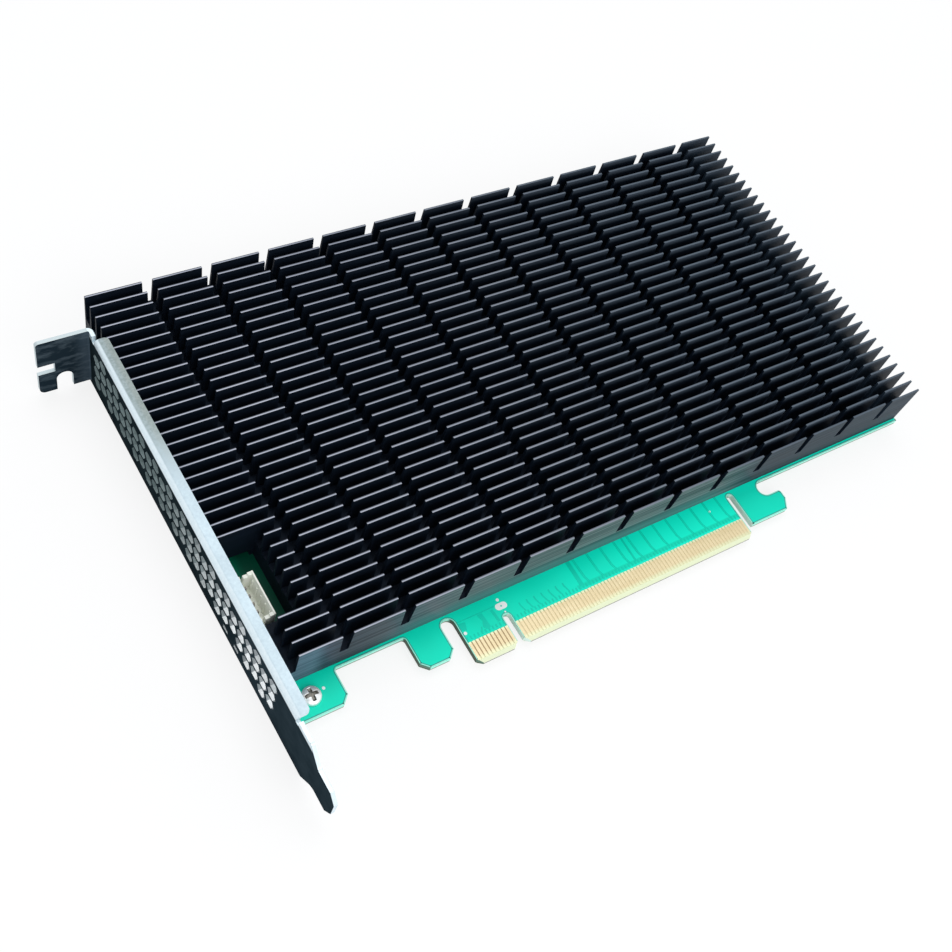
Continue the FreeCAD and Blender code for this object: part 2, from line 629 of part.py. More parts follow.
def cross_recess(body, head_top, backwards=False):
    """Two crossed slots cut down into a screw head."""
    sketch = new_sketch(body, "recess", level=head_top)
    arm = "dims.recess_width / 2"
    reach = "dims.recess_reach"
    add_outline(sketch, [
        (f"-({reach})", f"-({arm})"), (f"-({arm})", f"-({arm})"), (f"-({arm})", f"-({reach})"),
        (arm, f"-({reach})"), (arm, f"-({arm})"), (reach, f"-({arm})"),
        (reach, arm), (arm, arm), (arm, reach),
        (f"-({arm})", reach), (f"-({arm})", arm), (f"-({reach})", arm),
    ])
    return pocket(body, sketch, "dims.recess_depth", backwards=backwards)


def turned_screw(body, shank_radius, shank_length, head_radius, head_height, crowned=False):
    """A screw turned round its Z axis, its head's seat at z = 0 and its shank below."""
    profile = new_sketch(body, "profile", "XZ_Plane")
    crown = [(head_radius, f"{head_height} * 0.5"), (f"{head_radius} * 0.65", head_height)]
    flat = [(head_radius, head_height)]
    add_outline(profile, [
        (0, f"-({shank_length})"),
        (shank_radius, f"-({shank_length})"),
        (shank_radius, 0),
        (head_radius, 0),
        *(crown if crowned else flat),
        (0, head_height),
    ])
    turned = body.newObject("PartDesign::Revolution", f"{body.Name}_turned")
    turned.Profile = profile
    turned.ReferenceAxis = (profile, ["V_Axis"])
    turned.Angle = 360
    doc.recompute()
    return turned


def make_bracket_screws():
    body = new_body("bracket_screws")
    turned = turned_screw(body, "dims.screw_radius", BRACKET_SCREW_LENGTH,
                          "dims.screw_head_radius", "dims.bracket_head_height", crowned=True)
    recess = cross_recess(body, "dims.bracket_head_height")
    repeat(body, [turned, recess], recess.Profile[0], "V_Axis", "dims.bracket_screw_pitch", 2)
    body.setExpression("Placement.Base.x", "dims.bracket_screw_x")
    body.setExpression("Placement.Base.y", "dims.bracket_screw_y")
    return body


def make_sink_screws():
    """Low screws through the board from below into the heatsink's ribs."""
    body = new_body("heatsink_screws")
    turned = turned_screw(body, "dims.screw_radius", "(dims.board_thickness + dims.sink_screw_reach)",
                          "dims.screw_head_radius", "dims.sink_head_height")
    recess = cross_recess(body, "dims.sink_head_height")
    repeat_both_ways(body, [turned, recess], recess.Profile[0],
                     (SINK_SCREW_STEP, "dims.sink_screw_span"), ("dims.sink_screw_columns", 2))
    body.Placement = FreeCAD.Placement(FreeCAD.Vector(), FreeCAD.Rotation(FreeCAD.Vector(1, 0, 0), 180))
    body.setExpression("Placement.Base.x", FIRST_RIB)
    body.setExpression("Placement.Base.y", "dims.sink_screw_front + dims.sink_screw_span")
    body.setExpression("Placement.Base.z", BOARD_UNDER)
    return body


def make_heatsink():
    """One aluminium block: fin rows along X, cut across by slots, with pockets over the parts below it."""
    body = new_body("heatsink")
    block = new_sketch(body, "block")
    add_rectangle(block, "dims.sink_left", "dims.sink_front", SINK_RIGHT, SINK_BACK)
    pad(body, block, "dims.sink_height")
    cut_sink_underside(body)

    clear_left = f"dims.sink_left - {OVERCUT}"
    setback = new_sketch(body, "setback", level="dims.sink_height")
    add_rectangle(setback, clear_left, f"dims.sink_front - {OVERCUT}", "dims.setback_x", CUTOUT_FRONT)
    pocket(body, setback, FIN_DEPTH)
    cutout = new_sketch(body, "cutout", level="dims.sink_height")
    add_rectangle(cutout, clear_left, CUTOUT_FRONT, "dims.cutout_right", CUTOUT_BACK)
    pocket(body, cutout, "dims.sink_height")

    gap = new_sketch(body, "gap", "YZ_Plane")
    gap_front = "dims.sink_front + dims.fin_tip"
    gap_back = "dims.sink_front + dims.fin_pitch"
    slope = "(dims.fin_root - dims.fin_tip) / 2"
    add_outline(gap, [
        (f"{gap_front} + {slope}", "dims.base_height"),
        (f"{gap_back} - {slope}", "dims.base_height"),
        (gap_back, "dims.sink_height"),
        (gap_back, f"dims.sink_height + {OVERCUT}"),
        (gap_front, f"dims.sink_height + {OVERCUT}"),
        (gap_front, "dims.sink_height"),
    ])
    first_gap = pocket(body, gap, f"2 * ({SINK_RIGHT} + {OVERCUT})", middle=True)
    repeat(body, [first_gap], gap, "H_Axis", "dims.fin_pitch", "dims.fin_rows - 1")

    slot = new_sketch(body, "slot", "XZ_Plane")
    top = "dims.slot_width / 2"
    root = "dims.slot_root / 2"
    add_outline(slot, [
        (f"dims.first_slot - {root}", "dims.base_height"),
        (f"dims.first_slot + {root}", "dims.base_height"),
        (f"dims.first_slot + {top}", "dims.sink_height"),
        (f"dims.first_slot + {top}", f"dims.sink_height + {OVERCUT}"),
        (f"dims.first_slot - {top}", f"dims.sink_height + {OVERCUT}"),
        (f"dims.first_slot - {top}", "dims.sink_height"),
    ])
    first_slot = pocket(body, slot, f"2 * ({SINK_BACK} + {OVERCUT})", middle=True)
    repeat(body, [first_slot], slot, "H_Axis", "dims.slot_pitch", "dims.slot_count")
    return body


def cut_sink_underside(body):
    """Clearance beside the bracket, the pockets over the parts on the board and the screw threads."""
    recess = new_sketch(body, "recess")
    add_rectangle(recess, f"dims.sink_left - {OVERCUT}", CUTOUT_BACK, "dims.recess_right", "dims.recess_back")
    pocket(body, recess, "dims.recess_height", backwards=True)

    lane = new_sketch(body, "lane")
    add_rectangle(lane, "dims.lane_first - dims.lane_width / 2", "dims.lane_front",
                  "dims.lane_first + dims.lane_width / 2", "dims.lane_back")
    first_lane = pocket(body, lane, "dims.lane_height", backwards=True)
    repeat(body, [first_lane], lane, "H_Axis", "dims.lane_pitch", "dims.lane_count")

    sides = new_sketch(body, "sides")
    for left, right in (("dims.clock_pocket_left", "dims.clock_pocket_right"),
                        (POWER_LEFT, f"{POWER_LEFT} + dims.power_pocket_width")):
        add_rectangle(sides, left, "dims.side_front", right, "dims.side_back")
    pocket(body, sides, "dims.side_height", backwards=True)

    threads = new_sketch(body, "threads")
    tapped = "dims.screw_radius + dims.thread_clearance"
    add_circles(threads, [(across, up, tapped) for across, up in sink_screw_places()])
    pocket(body, threads, "dims.sink_screw_reach + dims.hole_clearance", backwards=True)


def lane_middle(index):
    return f"dims.lane_first + {index} * dims.lane_pitch"


def make_socket(index):
    """A drive socket: back wall, two jaws round the card slot, end cheeks and a key rib."""
    body = new_body(f"drive_socket_{index + 1}")
    slot_high = "dims.socket_slot_low + dims.socket_slot_height"
    profile = new_sketch(body, "profile", "YZ_Plane")
    add_outline(profile, [
        (0, 0),
        ("dims.socket_depth", 0),
        ("dims.socket_depth", "dims.socket_slot_low"),
        ("dims.socket_back_wall", "dims.socket_slot_low"),
        ("dims.socket_back_wall", slot_high),
        ("dims.socket_jaw_depth", slot_high),
        ("dims.socket_jaw_depth", "dims.socket_height"),
        (0, "dims.socket_height"),
    ])
    pad(body, profile, "dims.socket_width", middle=True)
    cheeks = new_sketch(body, "cheeks")
    for side in (-1, 1):
        middle = f"{side} * (dims.socket_width / 2 - dims.socket_cheek / 2)"
        add_rectangle(cheeks, f"{middle} - dims.socket_cheek / 2", "dims.socket_back_wall / 2",
                      f"{middle} + dims.socket_cheek / 2", "dims.socket_depth")
    pad(body, cheeks, "(dims.socket_slot_low + dims.socket_height) / 2")
    key = new_sketch(body, "key", level="dims.socket_slot_low / 2")
    add_rectangle(key, "dims.socket_key_offset - dims.socket_key_width / 2", "dims.socket_back_wall / 2",
                  "dims.socket_key_offset + dims.socket_key_width / 2", "dims.socket_jaw_depth - 0.4")
    pad(body, key, "dims.socket_height / 2")
    body.setExpression("Placement.Base.x", lane_middle(index))
    body.setExpression("Placement.Base.y", "dims.socket_y")
    return body


def make_standoff(index):
    """A turned brass standoff soldered to the board's face."""
    body = new_body(f"drive_standoff_{index + 1}")
    bore = "dims.drive_screw_radius + dims.thread_clearance"
    profile = new_sketch(body, "profile", "XZ_Plane")
    add_outline(profile, [
        (bore, 0),
        ("dims.standoff_radius", 0),
        ("dims.standoff_radius", "dims.standoff_height"),
        (bore, "dims.standoff_height"),
    ])
    turned = body.newObject("PartDesign::Revolution", f"{body.Name}_turned")
    turned.Profile = profile
    turned.ReferenceAxis = (profile, ["V_Axis"])
    turned.Angle = 360
    body.setExpression("Placement.Base.x", lane_middle(index))
    body.setExpression("Placement.Base.y", STANDOFF_Y)
    return body


def make_drive_screw(index):
    body = new_body(f"drive_screw_{index + 1}")
    turned_screw(body, "dims.drive_screw_radius", "dims.drive_screw_length",
                 "dims.drive_head_radius", "dims.drive_head_height")
    body.setExpression("Placement.Base.x", lane_middle(index))
    body.setExpression("Placement.Base.y", STANDOFF_Y)
    body.setExpression("Placement.Base.z", "dims.standoff_height")
    return body


def place(item, left, front, low):
    """Bind a primitive's corner to three expressions."""
    item.setExpression("Placement.Base.x", str(left))
    item.setExpression("Placement.Base.y", str(front))
    item.setExpression("Placement.Base.z", str(low))


def make_block(label, left, front, low, length, width, height):
    """A plain block from its lowest corner."""
    block = doc.addObject("Part::Box", label)
    block.Label = label
    block.setExpression("Length", str(length))
    block.setExpression("Width", str(width))
    block.setExpression("Height", str(height))
    place(block, left, front, low)
    return block


def make_thermal_pad(index):
    left = f"{lane_middle(index)} - dims.gum_width / 2"
    low = "dims.lane_height - dims.gum_thickness"
    return make_block(f"thermal_pad_{index + 1}", left, "dims.gum_front", low,
                      "dims.gum_width", "dims.gum_length", "dims.gum_thickness")


def make_fan_header():
    """The white shroud round the fan pins: four walls on a floor, lowered and slotted at both ends."""
    body = new_body("fan_header_shroud")
    half_x = "dims.header_width / 2"
    half_y = "dims.header_length / 2"
    wall = "dims.header_wall"
    block = new_sketch(body, "block")
    add_rectangle(block, f"-{half_x}", f"-{half_y}", half_x, half_y)
    pad(body, block, "dims.header_height")
    cavity = new_sketch(body, "cavity", level="dims.header_height")
    add_rectangle(cavity, f"-{half_x} + {wall}", f"-{half_y} + {wall}",
                  f"{half_x} - {wall}", f"{half_y} - {wall}")
    pocket(body, cavity, "dims.header_height - dims.header_floor")
    lowered = new_sketch(body, "lowered", level="dims.header_height")
    slots = new_sketch(body, "slots", level="dims.header_height")
    for side in (-1, 1):
        far = f"{side} * ({half_y} + {OVERCUT})"
        inside = f"{side} * ({half_y} - {wall})"
        add_rectangle(lowered, f"-{half_x} - {OVERCUT}", inside, f"{half_x} - 1.5 * {wall}", far)
        add_rectangle(slots, "dims.header_slot_left", inside, "dims.header_slot_left + dims.header_slot", far)
    pocket(body, lowered, "dims.header_step")
    pocket(body, slots, "dims.header_height * 0.6")
    bores = new_sketch(body, "bores")
    size = "(dims.pin_size / 2 + dims.thread_clearance)"
    for i in range(whole("dims.pin_count")):
        middle = pin_offset(i)
        add_rectangle(bores, f"-{size}", f"{middle} - {size}", size, f"{middle} + {size}")
    pocket(body, bores, "dims.header_floor", backwards=True)
    place(body, "dims.header_x", "dims.header_y", 0)
    return body


def make_fan_pins():
    body = new_body("fan_header_pins")
    half = "dims.pin_size / 2"
    sketch = new_sketch(body, "pin", level=f"{BOARD_UNDER} - dims.pin_tail")
    start = "-(dims.pin_count - 1) / 2 * dims.pin_pitch"
    add_rectangle(sketch, f"-{half}", f"{start} - {half}", half, f"{start} + {half}")
    first = pad(body, sketch, "dims.board_thickness + dims.pin_tail + dims.pin_top")
    repeat(body, [first], sketch, "V_Axis", "dims.pin_pitch", "dims.pin_count")
    place(body, "dims.header_x", "dims.header_y", 0)
    return body


def make_capacitors():
    body = new_body("ceramic_capacitors")
    sketch = new_sketch(body, "first")
    add_rectangle(sketch, 0, 0, "dims.capacitor_length", "dims.capacitor_width")
    first = pad(body, sketch, "dims.capacitor_height")
    repeat(body, [first], sketch, "V_Axis", "dims.capacitor_pitch", "dims.capacitor_count")
    place(body, "dims.clock_pocket_left + 4", "dims.side_front + 10", 0)
    return body


def make_power_parts():
    """The clock chip on one side of the drive slots, two regulators with their inductors on the other."""
    middle = "(dims.side_front + dims.side_back) / 2"
    clock_x = "(dims.clock_pocket_left + dims.clock_pocket_right) / 2"
    chip = "dims.clock_chip_size"
    parts = [make_block("clock_chip", f"{clock_x} - {chip} / 2", f"{middle} - {chip} / 2", 0,
                        chip, chip, "dims.clock_chip_height")]
    for i in range(2):
        y = f"{middle} + {i - 0.5} * dims.power_pitch"
        parts.append(make_block(f"regulator_chip_{i + 1}", f"{POWER_LEFT} + 3",
                                f"{y} - dims.regulator_size / 2", 0,
                                "dims.regulator_size", "dims.regulator_size", "dims.regulator_height"))
        parts.append(make_block(f"power_inductor_{i + 1}", f"{POWER_LEFT} + 6 + dims.regulator_size",
                                f"{y} - dims.coil_size / 2", 0,
                                "dims.coil_size", "dims.coil_size", "dims.coil_height"))
    return parts


def make_all():
    parts = [
        make_board(),
        make_contacts("edge_contacts_upper", "0", False),
        make_contacts("edge_contacts_lower", BOARD_UNDER, True),
        make_bracket(),
        make_bracket_screws(),
        make_heatsink(),
        make_sink_screws(),
        make_fan_header(),
        make_fan_pins(),
        make_capacitors(),
    ]
    parts += make_power_parts()
    for index in range(whole("dims.lane_count")):
        parts += [make_socket(index), make_standoff(index), make_drive_screw(index), make_thermal_pad(index)]
    return parts


parts = make_all()
doc.recompute()
for item in doc.Objects:
    if "Invalid" in item.State or "Error" in item.State:
        raise RuntimeError(f"{item.Name} did not build: {item.State}")
os.makedirs("parts", exist_ok=True)
for part in parts:
    if part.Shape.isNull() or not part.Shape.isValid():
        raise RuntimeError(f"{part.Label} has no valid shape")
    part.Shape.exportStep(f"parts/{part.Label}.step")
    print(f"{part.Label}: {len(part.Shape.Solids)} solid(s), {part.Shape.Volume:.1f} mm3")
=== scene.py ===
"""Visual model of the NVMe adapter card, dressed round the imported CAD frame.

Blender works in metres. Numbers given to Piece, and numbers times MM, are millimetres in the CAD frame.
"""
import bmesh
import bpy
import math
from mathutils import Matrix, Vector


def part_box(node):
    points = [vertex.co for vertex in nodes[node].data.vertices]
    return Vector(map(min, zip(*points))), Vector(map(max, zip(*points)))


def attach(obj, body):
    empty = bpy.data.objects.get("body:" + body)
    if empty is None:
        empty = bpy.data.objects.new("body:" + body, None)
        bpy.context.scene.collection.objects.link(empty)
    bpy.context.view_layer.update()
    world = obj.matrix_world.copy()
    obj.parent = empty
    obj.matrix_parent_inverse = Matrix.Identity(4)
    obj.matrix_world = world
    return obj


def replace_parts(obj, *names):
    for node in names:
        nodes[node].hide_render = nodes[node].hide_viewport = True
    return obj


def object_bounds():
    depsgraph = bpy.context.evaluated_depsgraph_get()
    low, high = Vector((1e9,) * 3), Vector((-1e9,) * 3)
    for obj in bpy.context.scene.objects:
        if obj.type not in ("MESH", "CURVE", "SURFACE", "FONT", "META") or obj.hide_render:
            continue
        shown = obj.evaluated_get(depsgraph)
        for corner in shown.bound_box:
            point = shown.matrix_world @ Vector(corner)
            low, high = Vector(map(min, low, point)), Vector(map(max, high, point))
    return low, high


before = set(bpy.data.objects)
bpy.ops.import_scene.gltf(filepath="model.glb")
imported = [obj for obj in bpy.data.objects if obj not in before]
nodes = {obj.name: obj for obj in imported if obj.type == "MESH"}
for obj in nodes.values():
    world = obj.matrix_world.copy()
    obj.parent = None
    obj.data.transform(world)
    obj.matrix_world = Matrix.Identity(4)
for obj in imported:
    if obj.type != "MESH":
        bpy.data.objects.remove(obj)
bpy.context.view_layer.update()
MM = 0.001

# Places on the card, in millimetres
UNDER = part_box("pcb")[0][2] / MM  # the board's lower face
FIN_TOP = 13.2
FIN_FRONT = 13.75
FIN_PITCH = 3.14
BRACKET_FACE = -58.8
CONTACTS_TOP = 5.6
CONNECTOR_ENDS = (-12.6, 72.6)
LANES = [4.0 + 29.0 * lane for lane in range(4)]  # middle of each drive slot
BOARD_SCREWS = [(-49.5, 9.2), (-49.5, 94.2)]
SINK_SCREWS = [(-10.5 + 58.0 * i, 32.0 + 66.0 * k) for i in range(3) for k in range(2)]


# ---------------------------------------------------------------- node helpers

class Shade:
    """A small wrapper that builds one node material."""

    def __init__(self, name):
        self.material = bpy.data.materials.new(name)
        self.material.use_nodes = True
        self.tree = self.material.node_tree
        self.tree.nodes.clear()
        self.out = self.tree.nodes.new("ShaderNodeOutputMaterial")
        self.bsdf = self.tree.nodes.new("ShaderNodeBsdfPrincipled")
        self.tree.links.new(self.bsdf.outputs["BSDF"], self.out.inputs["Surface"])
        coord = self.tree.nodes.new("ShaderNodeTexCoord")
        self.place = coord.outputs["Object"]
        split = self.tree.nodes.new("ShaderNodeSeparateXYZ")
        self.tree.links.new(self.place, split.inputs[0])
        self.x, self.y, self.z = split.outputs
        shape = self.tree.nodes.new("ShaderNodeNewGeometry")
        turn = self.tree.nodes.new("ShaderNodeSeparateXYZ")
        self.tree.links.new(shape.outputs["True Normal"], turn.inputs[0])
        self.nx, self.ny, self.nz = turn.outputs

    def feed(self, socket, value):
        if isinstance(value, bpy.types.NodeSocket):
            self.tree.links.new(value, socket)
        elif isinstance(value, (tuple, list)) and len(value) == 3 and socket.type == "RGBA":
            socket.default_value = (*value, 1.0)
        else:
            socket.default_value = value

    def set(self, **values):
        """Principled inputs by name, with _ for a blank."""
        for key, value in values.items():
            self.feed(self.bsdf.inputs[key.replace("_", " ")], value)

    def math(self, operation, a, b=None):
        node = self.tree.nodes.new("ShaderNodeMath")
        node.operation = operation
        for index, value in enumerate((a, b)):
            if value is not None:
                self.feed(node.inputs[index], value)
        return node.outputs[0]

    def step(self, value, low, high):
        """0 at low, 1 at high, smooth between them and level outside. low may be the larger one."""
        node = self.tree.nodes.new("ShaderNodeMapRange")
        node.interpolation_type = "SMOOTHSTEP"
        self.feed(node.inputs["Value"], value)
        node.inputs["From Min"].default_value = low
        node.inputs["From Max"].default_value = high
        return node.outputs["Result"]

    def band(self, value, low, high, soft):
        """1 between low and high."""
        up = self.step(value, low - soft, low + soft)
        down = self.step(value, high + soft, high - soft)
        return self.math("MULTIPLY", up, down)

    def blend(self, factor, first, second):
        node = self.tree.nodes.new("ShaderNodeMix")
        node.data_type = "RGBA"
        self.feed(node.inputs[0], factor)
        self.feed(node.inputs[6], first)
        self.feed(node.inputs[7], second)
        return node.outputs[2]

    def stretch(self, scale):
        """Object coordinates scaled per axis, for grain that runs one way."""
        node = self.tree.nodes.new("ShaderNodeMapping")
        self.tree.links.new(self.place, node.inputs["Vector"])
        node.inputs["Scale"].default_value = scale
        return node.outputs[0]

    def noise(self, scale, vector=None, detail=2.0, rough=0.5):
        node = self.tree.nodes.new("ShaderNodeTexNoise")
        self.feed(node.inputs["Vector"], vector or self.place)
        node.inputs["Scale"].default_value = scale
        node.inputs["Detail"].default_value = detail
        node.inputs["Roughness"].default_value = rough
        return node.outputs["Fac"]

    def remap(self, value, low, high, to_low=0.0, to_high=1.0):
        node = self.tree.nodes.new("ShaderNodeMapRange")
        self.feed(node.inputs["Value"], value)
        for key, number in (("From Min", low), ("From Max", high), ("To Min", to_low), ("To Max", to_high)):
            node.inputs[key].default_value = number
        return node.outputs["Result"]

    def bump(self, height, strength, distance):
        node = self.tree.nodes.new("ShaderNodeBump")
        self.feed(node.inputs["Height"], height)
        node.inputs["Strength"].default_value = strength
        node.inputs["Distance"].default_value = distance
        self.tree.links.new(node.outputs[0], self.bsdf.inputs["Normal"])


def dress(names, shade):
    for name in names:
        slots = nodes[name].data.materials
        slots.clear()
        slots.append(shade.material)


# ---------------------------------------------------------------- materials

def anodised_black():
    """Black anodised aluminium, extruded along X, with a painted highlight along the fin tips, painted light
    on the upper fin sides and at the fins' far right end, and painted light, shade and a painted board
    reflection on the front face.
    """
    s = Shade("black_anodised")
    grain = s.noise(1.0, s.stretch((14.0, 900.0, 2600.0)), 4.0, 0.6)
    streak = s.noise(1.0, s.stretch((9.0, 1.0, 1500.0)), 3.0, 0.65)
    cloud = s.noise(34.0, None, 3.0, 0.55)
    crest = s.step(s.z, (FIN_TOP - 0.1) * MM, (FIN_TOP - 0.02) * MM)
    tip = s.math("MULTIPLY", crest, s.step(s.nz, 0.8, 0.95))
    front = s.math("MULTIPLY", s.step(s.ny, -0.8, -0.95), s.step(s.y, 14.0 * MM, 13.9 * MM))
    base = s.blend(s.remap(grain, 0.3, 0.7), (0.003, 0.006, 0.011), (0.008, 0.013, 0.023))
    streaks = s.remap(streak, 0.36, 0.64)
    # Front face of the base: extrusion streaks, with painted light and shade over them: brighter at the left
    # end, a shaded band from x = -42 to -28 mm, darker right of x = 66 mm and lit in the middle.
    right = s.step(s.x, 66 * MM, 88 * MM)
    front_grain_and_light = s.blend(streaks, (0.010, 0.020, 0.034), (0.062, 0.094, 0.130))
    left_end = s.blend(streaks, (0.045, 0.085, 0.12), (0.12, 0.185, 0.245))
    front_grain_and_light = s.blend(s.step(s.x, -44 * MM, -48 * MM), front_grain_and_light, left_end)
    shaded = s.band(s.x, -42 * MM, -28 * MM, 3 * MM)
    dim = s.blend(streaks, (0.006, 0.012, 0.018), (0.030, 0.050, 0.066))
    front_grain_and_light = s.blend(s.math("MULTIPLY", shaded, 0.85), front_grain_and_light, dim)
    front_grain_and_light = s.blend(right, front_grain_and_light, s.blend(streaks, (0.012, 0.022, 0.031), (0.036, 0.056, 0.075)))
    lit = s.blend(streaks, (0.030, 0.048, 0.054), (0.165, 0.205, 0.218))
    middle = s.math("MULTIPLY", s.step(s.x, -45 * MM, -5 * MM), s.step(s.x, 84 * MM, 66 * MM))
    front_grain_and_light = s.blend(middle, front_grain_and_light, lit)
    # Painted reflection of the green board along the lower part of the front face.
    mirror = s.math("MULTIPLY", s.step(s.z, 7.5 * MM, 1.5 * MM), s.band(s.x, -26 * MM, 70 * MM, 8 * MM))
    front_grain_and_light = s.blend(s.math("MULTIPLY", mirror, 0.6), front_grain_and_light, (0.045, 0.205, 0.205))
    # Painted highlight on the fin tips: pale grey near the left, fading to dark blue-grey towards the far
    # right (x from -70 to 105 mm).
    tip_highlight = s.blend(s.remap(cloud, 0.35, 0.65), (0.36, 0.38, 0.45), (0.46, 0.48, 0.55))
    far = s.step(s.x, -70 * MM, 105 * MM)
    tip_highlight = s.blend(far, tip_highlight, (0.085, 0.108, 0.135))
    row = s.math("FLOORED_MODULO", s.math("SUBTRACT", s.y, FIN_FRONT * MM), FIN_PITCH * MM)
    ridge = s.math("MAXIMUM", far, s.step(row, 2.9 * MM, 3.0 * MM))
    ridge = s.math("MAXIMUM", s.step(row, 0.36 * MM, 0.28 * MM), ridge)
    # Painted light on the fin sides: lighter over the top 2 mm, rising from x = 0 to full at 110 mm and gone
    # by 142 mm.
    side_light = s.math("MULTIPLY", s.step(s.z, (FIN_TOP - 2.0) * MM, FIN_TOP * MM), s.step(s.x, 0.0, 110 * MM))
    side_light = s.math("MULTIPLY", side_light, s.step(s.x, 142 * MM, 124 * MM))
    side_light = s.math("MULTIPLY", side_light, s.step(s.math("ABSOLUTE", s.ny), 0.7, 0.9))
    # Painted light: a lighter blue-grey on the fins' far right end, from x = 118 mm.
    base = s.blend(s.step(s.x, 118 * MM, 132 * MM), base, (0.018, 0.030, 0.046))
    base = s.blend(side_light, base, (0.062, 0.082, 0.108))
    color = s.blend(front, base, front_grain_and_light)
    s.set(Base_Color=s.blend(s.math("MULTIPLY", tip, ridge), color, tip_highlight), Metallic=0.0,
          Roughness=s.remap(grain, 0.25, 0.75, 0.4, 0.56), Specular_IOR_Level=0.06)
    s.bump(grain, 0.25, 0.00004)
    return s


def plated_steel():
    """Bracket steel: bright along the flange and every sheared edge, the flange top a darker copy of that
    silver as painted shade, painted light and shade in the vent walls, and the outer face and folded tab
    painted near-black as a painted reflection of dark surroundings.
    """
    s = Shade("bracket_steel")
    skin = s.band(s.x, (BRACKET_FACE - 0.1) * MM, (BRACKET_FACE + 0.1) * MM, 0.05 * MM)
    outer = s.math("MULTIPLY", s.step(s.nx, -0.8, -0.97), skin)
    outer = s.math("MULTIPLY", outer, s.step(s.z, 14.5 * MM, 14.0 * MM))
    past_face = s.step(s.x, (BRACKET_FACE + 0.1) * MM, BRACKET_FACE * MM)
    fold = s.math("MULTIPLY", s.step(s.ny, -0.02, -0.1), past_face)
    dark = s.math("MAXIMUM", outer, fold)
    blotch = s.noise(120.0, None, 3.0, 0.6)
    fine = s.noise(1400.0, None, 2.0, 0.6)
    rolled = s.noise(1.0, s.stretch((500.0, 12.0, 500.0)), 3.0, 0.5)
    # Painted reflection: the plated outer face and folded tab are near-black with blotches for the dark
    # surroundings they reflect, darker further back (y 14 to 44 mm); the tab is lighter near the face and in
    # lighter painted blotches.
    dark_reflection = s.blend(s.remap(blotch, 0.35, 0.7), (0.014, 0.025, 0.032), (0.027, 0.042, 0.052))
    deep = s.blend(s.remap(blotch, 0.35, 0.7), (0.008, 0.014, 0.017), (0.016, 0.026, 0.030))
    dark_reflection = s.blend(s.step(s.y, 14 * MM, 44 * MM), dark_reflection, deep)
    near_face = s.step(s.x, (BRACKET_FACE - 4.0) * MM, (BRACKET_FACE - 0.1) * MM)
    tab = s.blend(near_face, (0.012, 0.022, 0.031), (0.045, 0.068, 0.090))
    tab_reflection_blotch = s.noise(1.0, s.stretch((220.0, 220.0, 620.0)), 4.0, 0.6)
    tab = s.blend(s.remap(tab_reflection_blotch, 0.45, 0.75, 0.0, 0.5), tab, (0.13, 0.17, 0.20))
    dark_reflection = s.blend(fold, dark_reflection, tab)
    silver = s.blend(s.remap(fine, 0.3, 0.7), (0.66, 0.77, 0.82), (0.74, 0.83, 0.87))
    # The up-facing flange top takes a darker copy of the same silver, so the sheared edges read brighter:
    # painted shade on the top.
    top = s.math("MULTIPLY", s.step(s.nz, 0.85, 0.97), s.step(s.x, -58.1 * MM, -57.7 * MM))
    shaded_top = s.blend(s.remap(fine, 0.3, 0.7), (0.43, 0.525, 0.58), (0.50, 0.60, 0.65))
    silver = s.blend(top, silver, shaded_top)
    cut = s.math("MULTIPLY", s.step(s.math("ABSOLUTE", s.nx), 0.5, 0.3), s.step(s.x, -57.8 * MM, -57.9 * MM))
    vent = s.math("MULTIPLY", cut, s.band(s.y, 8 * MM, 101 * MM, 0.1 * MM))
    # Painted light and shade in the vent holes: walls facing up are near-white, the others grey, and all turn
    # grey further back (y 18 to 72 mm).
    wall = s.blend(s.step(s.nz, 0.35, 0.95), (0.30, 0.33, 0.35), (0.92, 0.95, 0.96))
    wall = s.blend(s.step(s.y, 18 * MM, 72 * MM), wall, (0.26, 0.33, 0.335))
    silver = s.blend(s.math("MULTIPLY", vent, s.step(s.z, 13.6 * MM, 13.4 * MM)), silver, wall)
    # Greyer tone on the flange from y = 56 mm to the far end: blue-grey by the bend, olive towards the free
    # edge, with darker patches where the fine noise is high.
    far_flange = s.math("MULTIPLY", s.step(s.y, 56 * MM, 78 * MM), s.step(s.x, -58.1 * MM, -57.6 * MM))
    far_flange_tone = s.blend(s.step(s.x, -57.2 * MM, -56.4 * MM), (0.29, 0.35, 0.36), (0.27, 0.31, 0.295))
    far_flange_tone = s.blend(s.remap(fine, 0.42, 0.6, 0.0, 0.55), far_flange_tone, (0.16, 0.20, 0.19))
    silver = s.blend(s.math("MULTIPLY", far_flange, 0.9), silver, far_flange_tone)
    beyond = s.step(s.x, (BRACKET_FACE - 0.1) * MM, (BRACKET_FACE - 0.3) * MM)
    silver = s.blend(beyond, silver, (0.52, 0.59, 0.61))
    s.set(Base_Color=s.blend(dark, silver, dark_reflection), Metallic=s.remap(dark, 0.0, 1.0, 0.45, 0.0),
          Roughness=s.remap(blotch, 0.3, 0.7, 0.38, 0.5), Specular_IOR_Level=0.0)
    s.bump(s.math("ADD", rolled, fine), 0.12, 0.00003)
    return s


